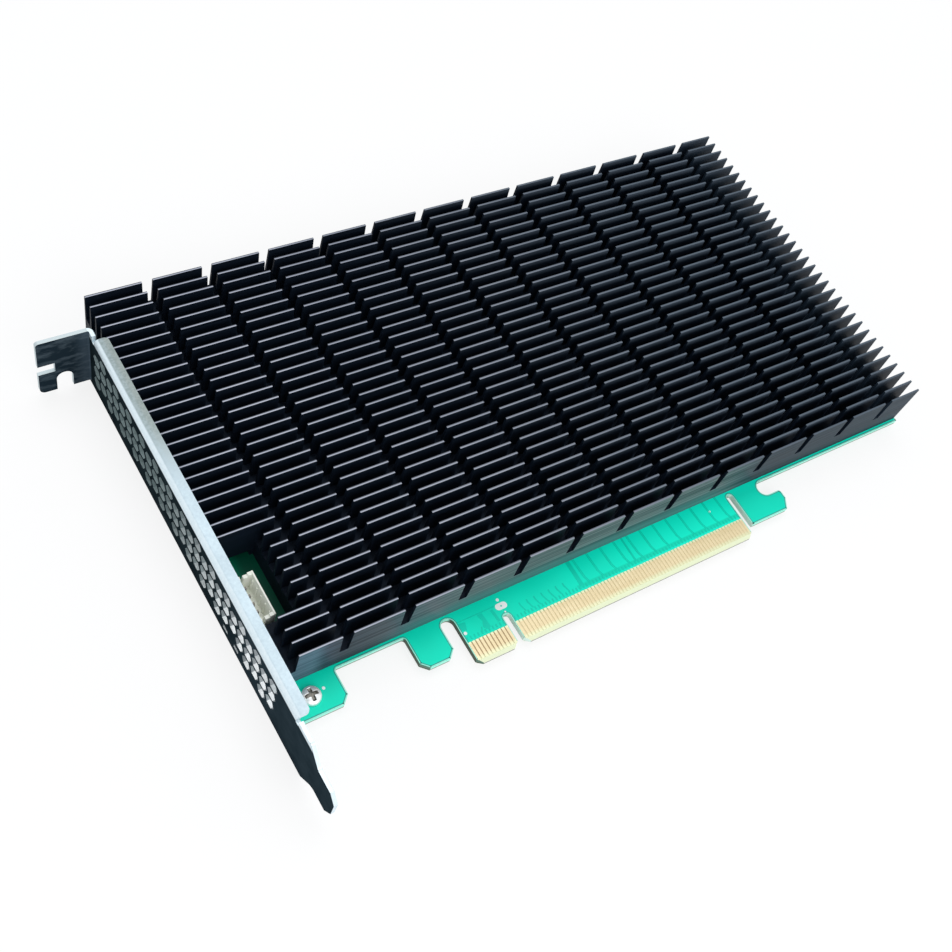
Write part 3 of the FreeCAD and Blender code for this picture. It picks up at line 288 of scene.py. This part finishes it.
def solder_mask():
    """Board: green mask on both faces, bare laminate on the cut edges and on the insertion bevel, with
    painted shade on the upper face under the heatsink and in the cut-out, and painted light and shade on the
    edges that face -X.
    """
    s = Shade("solder_mask")
    tilt = s.math("ABSOLUTE", s.nz)
    edge = s.step(tilt, 0.5, 0.3)
    bevel = s.math("MULTIPLY", s.band(tilt, 0.55, 0.97, 0.02), s.step(s.y, 1.4 * MM, 1.2 * MM))
    cloud = s.noise(60.0, None, 3.0, 0.5)
    weave = s.noise(900.0, None, 2.0, 0.5)
    mask = s.blend(s.remap(cloud, 0.3, 0.7), (0.0, 0.70, 0.475), (0.0, 0.76, 0.525))
    mask = s.blend(s.step(s.x, -15 * MM, 55 * MM), mask, (0.0, 0.85, 0.60))
    hook = s.math("MULTIPLY", s.step(s.x, 73.5 * MM, 74.5 * MM), s.step(s.y, 14 * MM, 11 * MM))
    mask = s.blend(hook, mask, (0.0, 0.70, 0.49))
    neck = s.math("MULTIPLY", s.band(s.y, 6.2 * MM, 7.3 * MM, 0.2 * MM),
                  s.band(s.x, 20 * MM, 72.5 * MM, 0.1 * MM))
    mask = s.blend(s.math("MULTIPLY", neck, 0.75), mask, (0.0, 0.64, 0.42))
    # Darker green on the upper face behind y = 14.5 mm, under the heatsink and in the cut-out: partly the
    # copper plane under the mask, partly painted shade, darkest to the right of the header.
    plane_and_shade = s.math("MULTIPLY", s.step(s.nz, 0.5, 0.8), s.step(s.y, 14.2 * MM, 14.6 * MM))
    shade = s.blend(s.step(s.x, -52 * MM, -48.5 * MM), (0.0, 0.20, 0.105), (0.0, 0.075, 0.042))
    mask = s.blend(plane_and_shade, mask, shade)
    low_skin = s.step(s.z, -0.95 * MM, -1.1 * MM)
    laminate = s.blend(low_skin, (0.36, 0.86, 0.70), (0.24, 0.27, 0.20))
    # Edges facing -X: a dark olive copy of the laminate left of x = -6 mm as painted shade, and a pale copy
    # right of x = -3 mm as painted light.
    side = s.blend(s.step(s.x, -6 * MM, -3 * MM), (0.050, 0.075, 0.045), (0.74, 0.86, 0.78))
    laminate = s.blend(s.step(s.nx, -0.4, -0.8), laminate, side)
    nose = s.math("MULTIPLY", s.step(s.ny, -0.9, -0.97), s.step(s.y, 0.5 * MM, 0.3 * MM))
    tip = s.blend(s.step(s.z, -0.78 * MM, -0.84 * MM), (0.58, 0.60, 0.48), (0.10, 0.10, 0.075))
    laminate = s.blend(nose, laminate, tip)
    ends = s.band(s.x, CONNECTOR_ENDS[0] * MM, CONNECTOR_ENDS[1] * MM, 0.02 * MM)
    tongue_row = s.math("MULTIPLY", s.step(s.y, CONTACTS_TOP * MM, (CONTACTS_TOP - 0.2) * MM), ends)
    tongue = s.blend(s.remap(weave, 0.3, 0.7), (0.66, 0.55, 0.31), (0.72, 0.60, 0.36))
    tongue = s.blend(s.step(s.y, 4.9 * MM, 5.1 * MM), tongue, (0.42, 0.50, 0.27))
    tongue = s.blend(s.step(s.x, 0.2 * MM, -0.2 * MM), tongue, (0.42, 0.30, 0.16))
    tongue = s.blend(s.step(s.y, 2.2 * MM, 1.0 * MM), tongue, (0.71, 0.71, 0.44))
    color = s.blend(tongue_row, mask, tongue)
    color = s.blend(edge, color, laminate)
    color = s.blend(bevel, color, (0.72, 0.77, 0.53))
    s.set(Base_Color=color, Roughness=s.remap(cloud, 0.3, 0.7, 0.36, 0.46), Specular_IOR_Level=0.15)
    s.bump(weave, 0.1, 0.00002)
    return s


def plated_gold():
    """Thin gold over nickel: pinkish tan, paler at both ends of each contact."""
    s = Shade("contact_gold")
    rub = s.noise(1.0, s.stretch((70.0, 260.0, 70.0)), 3.0, 0.55)
    tan = s.blend(s.remap(rub, 0.3, 0.7), (0.67, 0.54, 0.31), (0.77, 0.65, 0.41))
    pale = s.math("MAXIMUM", s.step(s.y, 2.3 * MM, 1.1 * MM), s.step(s.y, 5.0 * MM, 5.2 * MM))
    s.set(Base_Color=s.blend(pale, tan, (0.73, 0.73, 0.47)), Metallic=0.35, Roughness=0.4)
    s.bump(rub, 0.08, 0.00002)
    return s


def metal(name, low, high, rough, scale=300.0, metallic=0.9):
    s = Shade(name)
    grain = s.noise(scale, None, 3.0, 0.55)
    s.set(Base_Color=s.blend(s.remap(grain, 0.3, 0.7), low, high), Metallic=metallic,
          Roughness=s.remap(grain, 0.3, 0.7, rough - 0.05, rough + 0.07))
    s.bump(grain, 0.1, 0.00003)
    return s


def plastic(name, low, high, rough):
    s = Shade(name)
    grain = s.noise(260.0, None, 3.0, 0.55)
    s.set(Base_Color=s.blend(s.remap(grain, 0.3, 0.7), low, high),
          Roughness=s.remap(grain, 0.3, 0.7, rough - 0.06, rough + 0.06))
    s.bump(grain, 0.15, 0.00003)
    return s


FINS = anodised_black()
BRACKET = plated_steel()
BOARD = solder_mask()
GOLD = plated_gold()
STEEL = metal("screw_steel", (0.84, 0.84, 0.84), (0.94, 0.94, 0.93), 0.3, metallic=0.5)
BRASS = metal("turned_brass", (0.62, 0.46, 0.18), (0.74, 0.58, 0.28), 0.32)
TIN = metal("tin_plate", (0.40, 0.39, 0.37), (0.50, 0.49, 0.46), 0.4, metallic=0.6)
# Painted shade: the header's tin pins are coloured near-black.
SHADED_PIN = metal("header_pin", (0.10, 0.095, 0.085), (0.15, 0.14, 0.125), 0.35)
# Painted shade: a dark copy of the screw steel for the faces inside the cross recess.
RECESS_SHADE = metal("recess_shade_steel", (0.16, 0.15, 0.13), (0.28, 0.27, 0.24), 0.4, 900.0, 0.7)
NYLON = plastic("white_nylon", (0.92, 0.94, 0.84), (0.97, 0.98, 0.90), 0.5)
EPOXY = plastic("chip_epoxy", (0.012, 0.012, 0.012), (0.022, 0.022, 0.022), 0.6)
FERRITE = plastic("pressed_ferrite", (0.06, 0.06, 0.065), (0.09, 0.09, 0.095), 0.55)
CERAMIC = plastic("fired_ceramic", (0.34, 0.24, 0.14), (0.44, 0.32, 0.2), 0.5)
SOCKET = plastic("socket_nylon", (0.02, 0.02, 0.02), (0.035, 0.035, 0.035), 0.5)
TRACK = plastic("masked_copper", (0.0, 0.57, 0.40), (0.0, 0.62, 0.44), 0.4)
TRACK.set(Specular_IOR_Level=0.15)
LAMINATE = plastic("bare_laminate", (0.30, 0.80, 0.64), (0.36, 0.86, 0.70), 0.5)
MASK_EDGE = plastic("mask_edge", (0.0, 0.27, 0.21), (0.0, 0.33, 0.26), 0.5)
PRINT = plastic("white_print", (0.80, 0.82, 0.80), (0.88, 0.90, 0.88), 0.6)
GUM = plastic("thermal_gum", (0.25, 0.29, 0.36), (0.32, 0.36, 0.43), 0.8)

dress(["heatsink"], FINS)
dress(["bracket"], BRACKET)
dress(["pcb"], BOARD)
dress(["edge_contacts_upper", "edge_contacts_lower"], GOLD)
dress(["bracket_screws", "heatsink_screws"], STEEL)
dress(["fan_header_shroud"], NYLON)
dress(["fan_header_pins"], SHADED_PIN)
dress(["clock_chip", "regulator_chip_1", "regulator_chip_2"], EPOXY)
dress(["power_inductor_1", "power_inductor_2"], FERRITE)
dress(["ceramic_capacitors"], CERAMIC)
for lane in range(1, 5):
    dress([f"drive_socket_{lane}"], SOCKET)
    dress([f"drive_standoff_{lane}"], BRASS)
    dress([f"drive_screw_{lane}"], STEEL)
    dress([f"thermal_pad_{lane}"], GUM)


# ---------------------------------------------------------------- detail pieces

def new_object(name, data):
    item = bpy.data.objects.new(name, data)
    bpy.context.scene.collection.objects.link(item)
    return item


class Piece:
    """Collects simple solids, given in millimetres, into one mesh object that rides with the card."""

    def __init__(self, name, shade, slot):
        self.name = name
        self.shade = shade
        self.slot = slot
        self.build = bmesh.new()

    def prism(self, outline, low, high):
        """An upright prism over an outline of (x, y) corners."""
        self.loft(outline, outline, low, high)

    def block(self, left, front, right, back, low, high):
        self.prism([(left, front), (right, front), (right, back), (left, back)], low, high)

    def loft(self, lower, upper, low, high):
        """A solid between two outlines with the same number of (x, y) corners."""
        rings = [[self.build.verts.new((x * MM, y * MM, z * MM)) for x, y in outline]
                 for outline, z in ((lower, low), (upper, high))]
        self.build.faces.new(list(reversed(rings[0])))
        self.build.faces.new(rings[1])
        count = len(lower)
        for i in range(count):
            k = (i + 1) % count
            self.build.faces.new((rings[0][i], rings[0][k], rings[1][k], rings[1][i]))

    def disc(self, x, y, radius, low, high, count=16):
        turn = [2 * math.pi * i / count for i in range(count)]
        self.prism([(x + radius * math.cos(a), y + radius * math.sin(a)) for a in turn], low, high)

    def strip(self, points, width, low, high):
        """A bent track of even width through (x, y) points."""
        half = width / 2
        lap = 0.4  # share of half the width by which each run passes its ends
        layer = 0.003  # keeps runs that cross from lying in one plane
        rise = layer if low >= 0.0 else 0.0
        drop = layer if low < 0.0 else 0.0
        for index, ((x0, y0), (x1, y1)) in enumerate(zip(points, points[1:]), start=1):
            length = math.hypot(x1 - x0, y1 - y0)
            ax, ay = (x1 - x0) / length * half, (y1 - y0) / length * half
            self.prism([(x0 - ax * lap + ay, y0 - ay * lap - ax), (x1 + ax * lap + ay, y1 + ay * lap - ax),
                        (x1 + ax * lap - ay, y1 + ay * lap + ax), (x0 - ax * lap - ay, y0 - ay * lap + ax)],
                       low - drop * index, high + rise * index)

    def finish(self, smooth=False):
        mesh = bpy.data.meshes.new(self.name)
        bmesh.ops.recalc_face_normals(self.build, faces=self.build.faces)
        self.build.to_mesh(mesh)
        self.build.free()
        mesh.materials.append(self.shade.material)
        if smooth:
            for face in mesh.polygons:
                face.use_smooth = True
        item = new_object(self.name, mesh)
        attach(item, "root")
        return item


COPPER = 0.035  # thickness of a track above the board's faces
CONTACT_PITCH = 1.0
KEY_SIDE = 1.5  # middle of the first contact on each side of the key
CONTACT_ROWS = ([-KEY_SIDE - i * CONTACT_PITCH for i in range(11)]
                + [KEY_SIDE + i * CONTACT_PITCH for i in range(71)])
NECK_LOW, NECK_HIGH, NECK_HALF = 6.05, 6.95, 0.2  # the necks above the contacts
TRACK_LOW = 6.9  # where the tracks leave the necks
TRACK_TOP = 13.7  # where the tracks pass below the heatsink
VIA = 0.3  # radius of a plated hole's ring

KEY_PLANE_LEFT = [(-11.7, 9.0), (-10.5, 8.3), (-9.8, 10.3), (-11.7, 10.6)]
KEY_PLANE_MIDDLE = [(-6.4, 10.7), (-5.9, 9.0), (-6.5, 7.5), (-5.6, 6.4), (-4.8, 7.0), (-5.1, 10.7)]
KEY_PLANE_RIGHT = [(-2.9, 10.4), (-2.6, 7.2), (-1.9, 7.2), (-2.2, 10.4)]


def faces_of(side):
    """Lowest and highest z of copper on the upper (1) or the lower (-1) face."""
    return (0.0, COPPER) if side > 0 else (UNDER - COPPER, UNDER)


def pair(piece, points, side, gap=0.42, width=0.26):
    """Two tracks side by side."""
    for offset in (-gap / 2, gap / 2):
        piece.strip([(x + offset, y) for x, y in points], width, *faces_of(side))


def make_upper_tracks():
    """The tracks that show as darker lines below the mask between the contacts and the heatsink."""
    piece = Piece("board_tracks_upper", TRACK, "board")
    low, high = faces_of(1)
    for x in CONTACT_ROWS:
        piece.block(x - NECK_HALF, NECK_LOW, x + NECK_HALF, NECK_HIGH, low, high)
    for i in range(12):
        x = 23.2 + 4.16 * i
        pair(piece, [(x + 0.5, TRACK_LOW), (x, 8.6), (x - 0.2, TRACK_TOP)], 1, 0.36, 0.2)
    for x, width in ((21.4, 1.1), (38.0, 0.5)):
        piece.strip([(x, TRACK_LOW), (x, TRACK_TOP)], width, low, high)
    for i in range(7):
        x = 5.0 + 2.1 * i
        piece.strip([(x, TRACK_LOW), (x - 0.5, 8.6), (x - 0.5, 9.3)], 0.34, low, high)
    for outline in (KEY_PLANE_LEFT, KEY_PLANE_MIDDLE, KEY_PLANE_RIGHT):
        piece.prism(outline, low, high + 0.012)
    piece.strip([(-6.9, 7.7), (-7.5, 6.2)], 0.3, low, high + 0.006)
    piece.strip([(-11.7, 10.95), (-1.4, 10.95)], 0.22, low, high)
    piece.finish()


def make_lower_tracks():
    """Contact necks, and the pairs that run from the connector to the first two drive sockets."""
    piece = Piece("board_tracks_lower", TRACK, "board")
    low, high = faces_of(-1)
    for x in CONTACT_ROWS:
        piece.block(x - NECK_HALF, NECK_LOW, x + NECK_HALF, NECK_HIGH, low, high)
    turn = 9.0  # where a pair leaves its contacts' line
    for first, jog in ((4.0, -7.0), (20.0, 6.0)):
        straight = turn + abs(jog)
        for k in range(8):
            start = first + 2.0 * k
            pair(piece, [(start, TRACK_LOW), (start, turn), (start + jog, straight), (start + jog, 26.0)], -1)
    piece.finish()


def make_rim():
    """Bare laminate and the mask's dark edge, along the whole outline of both faces."""
    bare = Piece("board_bare_rim", LAMINATE, "board")
    line = Piece("board_mask_edge", MASK_EDGE, "board")
    rise = 0.012
    mesh = nodes["pcb"].data
    faces = {}
    for face in mesh.polygons:
        corners = [tuple(round(c / MM, 3) for c in mesh.vertices[i].co) for i in face.vertices]
        for start, end in zip(corners, corners[1:] + corners[:1]):
            faces.setdefault(frozenset((start, end)), []).append(face.normal.copy())
    for ends, normals in faces.items():
        flats = [n for n in normals if abs(n.z) > 0.99]
        sides = [n for n in normals if abs(n.z) < 0.1]
        if len(ends) < 2 or not flats or not sides:
            continue
        (x0, y0, z0), (x1, y1, _) = sorted(ends)
        out = sides[0]
        low, high = (0.0, rise) if flats[0].z > 0 else (z0 - rise, z0)
        for piece, near, far in ((bare, 0.03, 0.24), (line, 0.24, 0.46)):  # distances in from the edge
            piece.prism([(x0 - out.x * near, y0 - out.y * near), (x1 - out.x * near, y1 - out.y * near),
                         (x1 - out.x * far, y1 - out.y * far), (x0 - out.x * far, y0 - out.y * far)],
                        low, high)
    bare.finish()
    line.finish()


def make_vias():
    """Small plated holes on the lower face: rows along the back and the far side, two rows by each socket."""
    rings = Piece("board_vias", TIN, "pin_metal")
    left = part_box("pcb")[0][0] / MM
    right, back, _ = (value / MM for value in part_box("pcb")[1])
    low, high = faces_of(-1)
    for i in range(30):
        x = left + 14.0 + i * (right - left - 20.0) / 29
        rings.disc(x, back - 2.0, VIA, low, high, 10)
    for i in range(22):
        y = 20.0 + i * (back - 26.0) / 21
        rings.disc(right - 2.0, y, VIA, low, high, 10)
    for middle in LANES:
        for k in range(9):
            for y in (27.0, 16.6):
                rings.disc(middle - 8.8 + 2.2 * k, y, VIA, low, high, 10)
    rings.finish()


def make_print():
    """White printed marks on the upper face, plain shapes only."""
    white = Piece("board_print", PRINT, "board")
    dark = Piece("board_print_gap", TRACK, "board")
    for x, y, radius in ((-46.2, 9.8, 0.38), (0.15, 12.1, 0.4), (-11.2, 7.9, 0.42), (65.0, 10.7, 0.3),
                         (0.3, 8.75, 0.2)):
        white.disc(x, y, radius, 0.0, 0.02)
    ends = [(-0.55, 10.4), (0.85, 10.4)]
    outline = []
    for index, (x, y) in enumerate(ends):
        start = math.pi / 2 if index == 0 else -math.pi / 2
        for k in range(9):
            angle = start + math.pi * k / 8
            outline.append((x + 0.85 * math.cos(angle), y + 0.85 * math.sin(angle)))
    white.prism(outline, 0.0, 0.02)
    dark.disc(0.15, 10.4, 0.22, 0.02, 0.03, 10)
    white.finish()
    dark.finish()


def crown_height(r, radius, dome, rim):
    """Height of a pan head's plain crown."""
    return rim + dome * (1.0 - (r / radius) ** 2.6)


def screw_top(r, angle, radius, dome, rim):
    """Height of a pan head at a polar place, with a tapered cross recess."""
    crown = crown_height(r, radius, dome, rim)
    depth = 0.0
    for turn in (0.0, math.pi / 2):
        along = abs(r * math.cos(angle - turn))
        across = abs(r * math.sin(angle - turn))
        arm = min(1.0, max(0.0, (1.62 - along) / 0.5)) * min(1.0, max(0.0, (0.44 - across) / 0.12))
        depth = max(depth, arm)
    return crown - 0.7 * depth


def make_screws(name, node, places, seat, up, radius, head, shank, dome):
    """Pan-head screws standing for a CAD node: head above the seat, shank (radius, length) below it."""
    piece = Piece(name, STEEL, "screw_steel")
    build = piece.build
    turns, rings = 128, 44
    rim = head - dome
    for cx, cy in places:
        def vertex(r, angle, z):
            return build.verts.new(((cx + r * math.cos(angle)) * MM, (cy + up * r * math.sin(angle)) * MM,
                                    (seat + up * z) * MM))
        angles = [2 * math.pi * i / turns for i in range(turns)]
        profile = [(radius * 0.965, rim * 0.9), (radius, rim * 0.72), (radius, 0.08), (radius * 0.97, 0.0),
                   (shank[0], 0.0), (shank[0], -shank[1] + 0.25), (shank[0] * 0.75, -shank[1])]
        loops = []
        for k in range(1, rings + 1):
            r = radius * 0.93 * k / rings
            loops.append([vertex(r, a, screw_top(r, a, radius, dome, rim)) for a in angles])
        for r, z in profile:
            loops.append([vertex(r, a, z) for a in angles])
        tip = vertex(0.0, 0.0, -shank[1])
        middle = vertex(0.0, 0.0, screw_top(0.0, 0.0, radius, dome, rim))
        # Faces sunk into the cross recess, and its middle, take material 1: the dark steel of painted shade.
        for i in range(turns):
            k = (i + 1) % turns
            build.faces.new((middle, loops[0][i], loops[0][k])).material_index = 1
            for level, (inner, outer) in enumerate(zip(loops, loops[1:]), start=1):
                face = build.faces.new((inner[i], outer[i], outer[k], inner[k]))
                r = radius * 0.93 * (level + 0.5) / rings
                top = screw_top(r, angles[i] + math.pi / turns, radius, dome, rim)
                if level < rings and top < crown_height(r, radius, dome, rim) - 0.12:
                    face.material_index = 1
            build.faces.new((loops[-1][i], tip, loops[-1][k]))
    item = piece.finish(smooth=True)
    # Material 1 is the recess steel, darkened as painted shade.
    item.data.materials.append(RECESS_SHADE.material)
    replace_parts(item, node)


def make_header():
    """The fan header's shroud: tapered side walls, lowered end walls with a guide slot, ribs inside."""
    piece = Piece("fan_header_body", NYLON, "white_plastic")
    (left, front, _), (right, back, top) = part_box("fan_header_shroud")
    left, front, right, back, top = (value / MM for value in (left, front, right, back, top))
    middle_x, middle_y = (left + right) / 2, (front + back) / 2
    floor, lowered, wall, thin = 1.4, top - 0.9, 0.85, 0.4
    piece.block(left, front, right, back, 0.0, floor)
    for edge, inward in ((left, 1), (right, -1)):
        foot, rim = edge + inward * wall, edge + inward * thin
        lower = [(edge, front), (foot, front), (foot, back), (edge, back)]
        upper = [(edge, front), (rim, front), (rim, back), (edge, back)]
        piece.loft(lower, upper, floor, top - 0.12)
        soft = edge + inward * 0.1
        piece.loft(upper, [(soft, front + 0.1), (rim, front + 0.1), (rim, back - 0.1), (soft, back - 0.1)],
                   top - 0.12, top)
    for edge, inward in ((front, 1), (back, -1)):
        low_y, high_y = sorted((edge, edge + inward * wall))
        slot = middle_x - 0.15
        piece.block(left + 0.3, low_y, slot, high_y, floor, lowered)
        piece.block(slot + 0.7, low_y, right - 0.3, high_y, floor, lowered)
        piece.block(slot - 0.1, low_y, slot + 0.8, high_y, floor, top * 0.4)
        piece.block(right - 1.3, low_y, right - 0.3, high_y, lowered, top - 0.25)
        piece.block(left + 0.3, low_y, left + 1.3, high_y, lowered, top - 0.25)
    for i in range(5):
        y = middle_y - 4.0 + 2.0 * i
        lower, upper = [[(x - 0.3, y - 0.2), (x, y - 0.2), (x, y + 0.2), (x - 0.3, y + 0.2)]
                        for x in (right - wall, right - thin)]
        piece.loft(lower, upper, floor, top - 1.6)
    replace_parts(piece.finish(), "fan_header_shroud")


def make_solder():
    """Solder cones round the fan header's pin tails."""
    piece = Piece("header_solder", TIN, "pin_metal")
    (left, front, _), (right, _, _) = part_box("fan_header_pins")
    x = (left + right) / 2 / MM
    turns = 20
    for i in range(4):
        y = (front / MM + 0.25) + 2.0 * i
        rings = []
        for radius, drop in ((0.85, 0.02), (0.62, 0.16), (0.42, 0.45), (0.33, 0.8)):
            rings.append([piece.build.verts.new(((x + radius * math.cos(2 * math.pi * k / turns)) * MM,
                                                 (y + radius * math.sin(2 * math.pi * k / turns)) * MM,
                                                 (UNDER - drop) * MM)) for k in range(turns)])
        piece.build.faces.new(rings[0])
        piece.build.faces.new(rings[-1])
        for outer, inner in zip(rings, rings[1:]):
            for k in range(turns):
                n = (k + 1) % turns
                piece.build.faces.new((outer[k], outer[n], inner[n], inner[k]))
    piece.finish(smooth=True)


make_upper_tracks()
make_lower_tracks()
make_rim()
make_vias()
make_print()
make_solder()
make_header()
make_screws("bracket_pan_screws", "bracket_screws", BOARD_SCREWS, seat=0.0, up=1,
            radius=2.25, head=1.6, shank=(1.22, 2.6), dome=0.75)
make_screws("heatsink_pan_screws", "heatsink_screws", SINK_SCREWS, seat=UNDER, up=-1,
            radius=2.25, head=1.2, shank=(1.22, 5.0), dome=0.35)


# ---------------------------------------------------------------- stage, light and camera

def backdrop_rays(tree, share):
    """The share of the white backdrop that camera, glossy and transmission rays see."""
    path = tree.nodes.new("ShaderNodeLightPath")
    seen = path.outputs["Is Camera Ray"]
    for ray in ("Is Glossy Ray", "Is Transmission Ray"):
        either = tree.nodes.new("ShaderNodeMath")
        either.operation = "MAXIMUM"
        tree.links.new(seen, either.inputs[0])
        tree.links.new(path.outputs[ray], either.inputs[1])
        seen = either.outputs[0]
    part = tree.nodes.new("ShaderNodeMath")
    part.operation = "MULTIPLY"
    part.inputs[1].default_value = share
    tree.links.new(seen, part.inputs[0])
    return part.outputs[0]


def make_floor():
    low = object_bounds()[0][2]
    build = bmesh.new()
    bmesh.ops.create_grid(build, x_segments=1, y_segments=1, size=4.0)
    mesh = bpy.data.meshes.new("floor")
    build.to_mesh(mesh)
    build.free()
    floor = new_object("floor", mesh)
    floor.location = (0.0, 0.0, low - 0.0001)
    material = bpy.data.materials.new("floor_pale")
    material.use_nodes = True
    tree = material.node_tree
    tree.nodes.clear()
    out = tree.nodes.new("ShaderNodeOutputMaterial")
    matte = tree.nodes.new("ShaderNodeBsdfDiffuse")
    matte.inputs["Color"].default_value = (0.9, 0.9, 0.9, 1.0)
    glow = tree.nodes.new("ShaderNodeEmission")
    glow.inputs["Color"].default_value = (1.0, 1.0, 1.0, 1.0)
    glow.inputs["Strength"].default_value = 1.0
    mix = tree.nodes.new("ShaderNodeMixShader")
    tree.links.new(backdrop_rays(tree, 0.8), mix.inputs["Fac"])
    tree.links.new(matte.outputs[0], mix.inputs[1])
    tree.links.new(glow.outputs[0], mix.inputs[2])
    tree.links.new(mix.outputs[0], out.inputs["Surface"])
    mesh.materials.append(material)


def make_world():
    world = bpy.data.worlds.new("studio")
    bpy.context.scene.world = world
    world.use_nodes = True
    tree = world.node_tree
    tree.nodes.clear()
    out = tree.nodes.new("ShaderNodeOutputWorld")
    room = tree.nodes.new("ShaderNodeBackground")
    room.inputs["Color"].default_value = (0.93, 0.96, 1.0, 1.0)
    room.inputs["Strength"].default_value = 0.78
    white = tree.nodes.new("ShaderNodeBackground")
    white.inputs["Color"].default_value = (1.0, 1.0, 1.0, 1.0)
    white.inputs["Strength"].default_value = 1.0
    mix = tree.nodes.new("ShaderNodeMixShader")
    tree.links.new(backdrop_rays(tree, 1.0), mix.inputs["Fac"])
    tree.links.new(room.outputs[0], mix.inputs[1])
    tree.links.new(white.outputs[0], mix.inputs[2])
    tree.links.new(mix.outputs[0], out.inputs["Surface"])


def area_light(name, place, target, size, power):
    light = bpy.data.lights.new(name, "AREA")
    light.shape = "RECTANGLE"
    light.size, light.size_y = size
    light.energy = power
    lamp = new_object(name, light)
    lamp.location = place
    aim = Vector(target) - Vector(place)
    lamp.rotation_euler = aim.to_track_quat("-Z", "Y").to_euler()


def make_camera():
    look = Vector((0.43993, 0.32446, -0.83737)).normalized()
    up = Vector((0.34456, 0.80010, 0.49104)).normalized()
    side = look.cross(up).normalized()
    up = side.cross(look)
    lens = bpy.data.cameras.new("camera")
    camera = new_object("camera", lens)
    turn = Matrix((side, up, -look)).transposed().to_4x4()
    camera.matrix_world = Matrix.Translation((-0.119133, -0.063836, 0.231390)) @ turn
    lens.sensor_width = 36.0
    lens.lens = 44.464
    lens.shift_x = 0.0006
    lens.shift_y = 0.0765
    lens.clip_start = 0.005
    lens.clip_end = 20.0
    bpy.context.scene.camera = camera


make_floor()
make_world()
MIDDLE = (0.04, 0.055, 0.0)
area_light("top_softbox", (0.16, 0.30, 0.85), MIDDLE, (0.7, 0.55), 2.2)
area_light("front_softbox", (-0.05, -0.6, 0.5), MIDDLE, (0.7, 0.4), 2.4)
make_camera()

bpy.context.scene.view_settings.view_transform = "Standard"
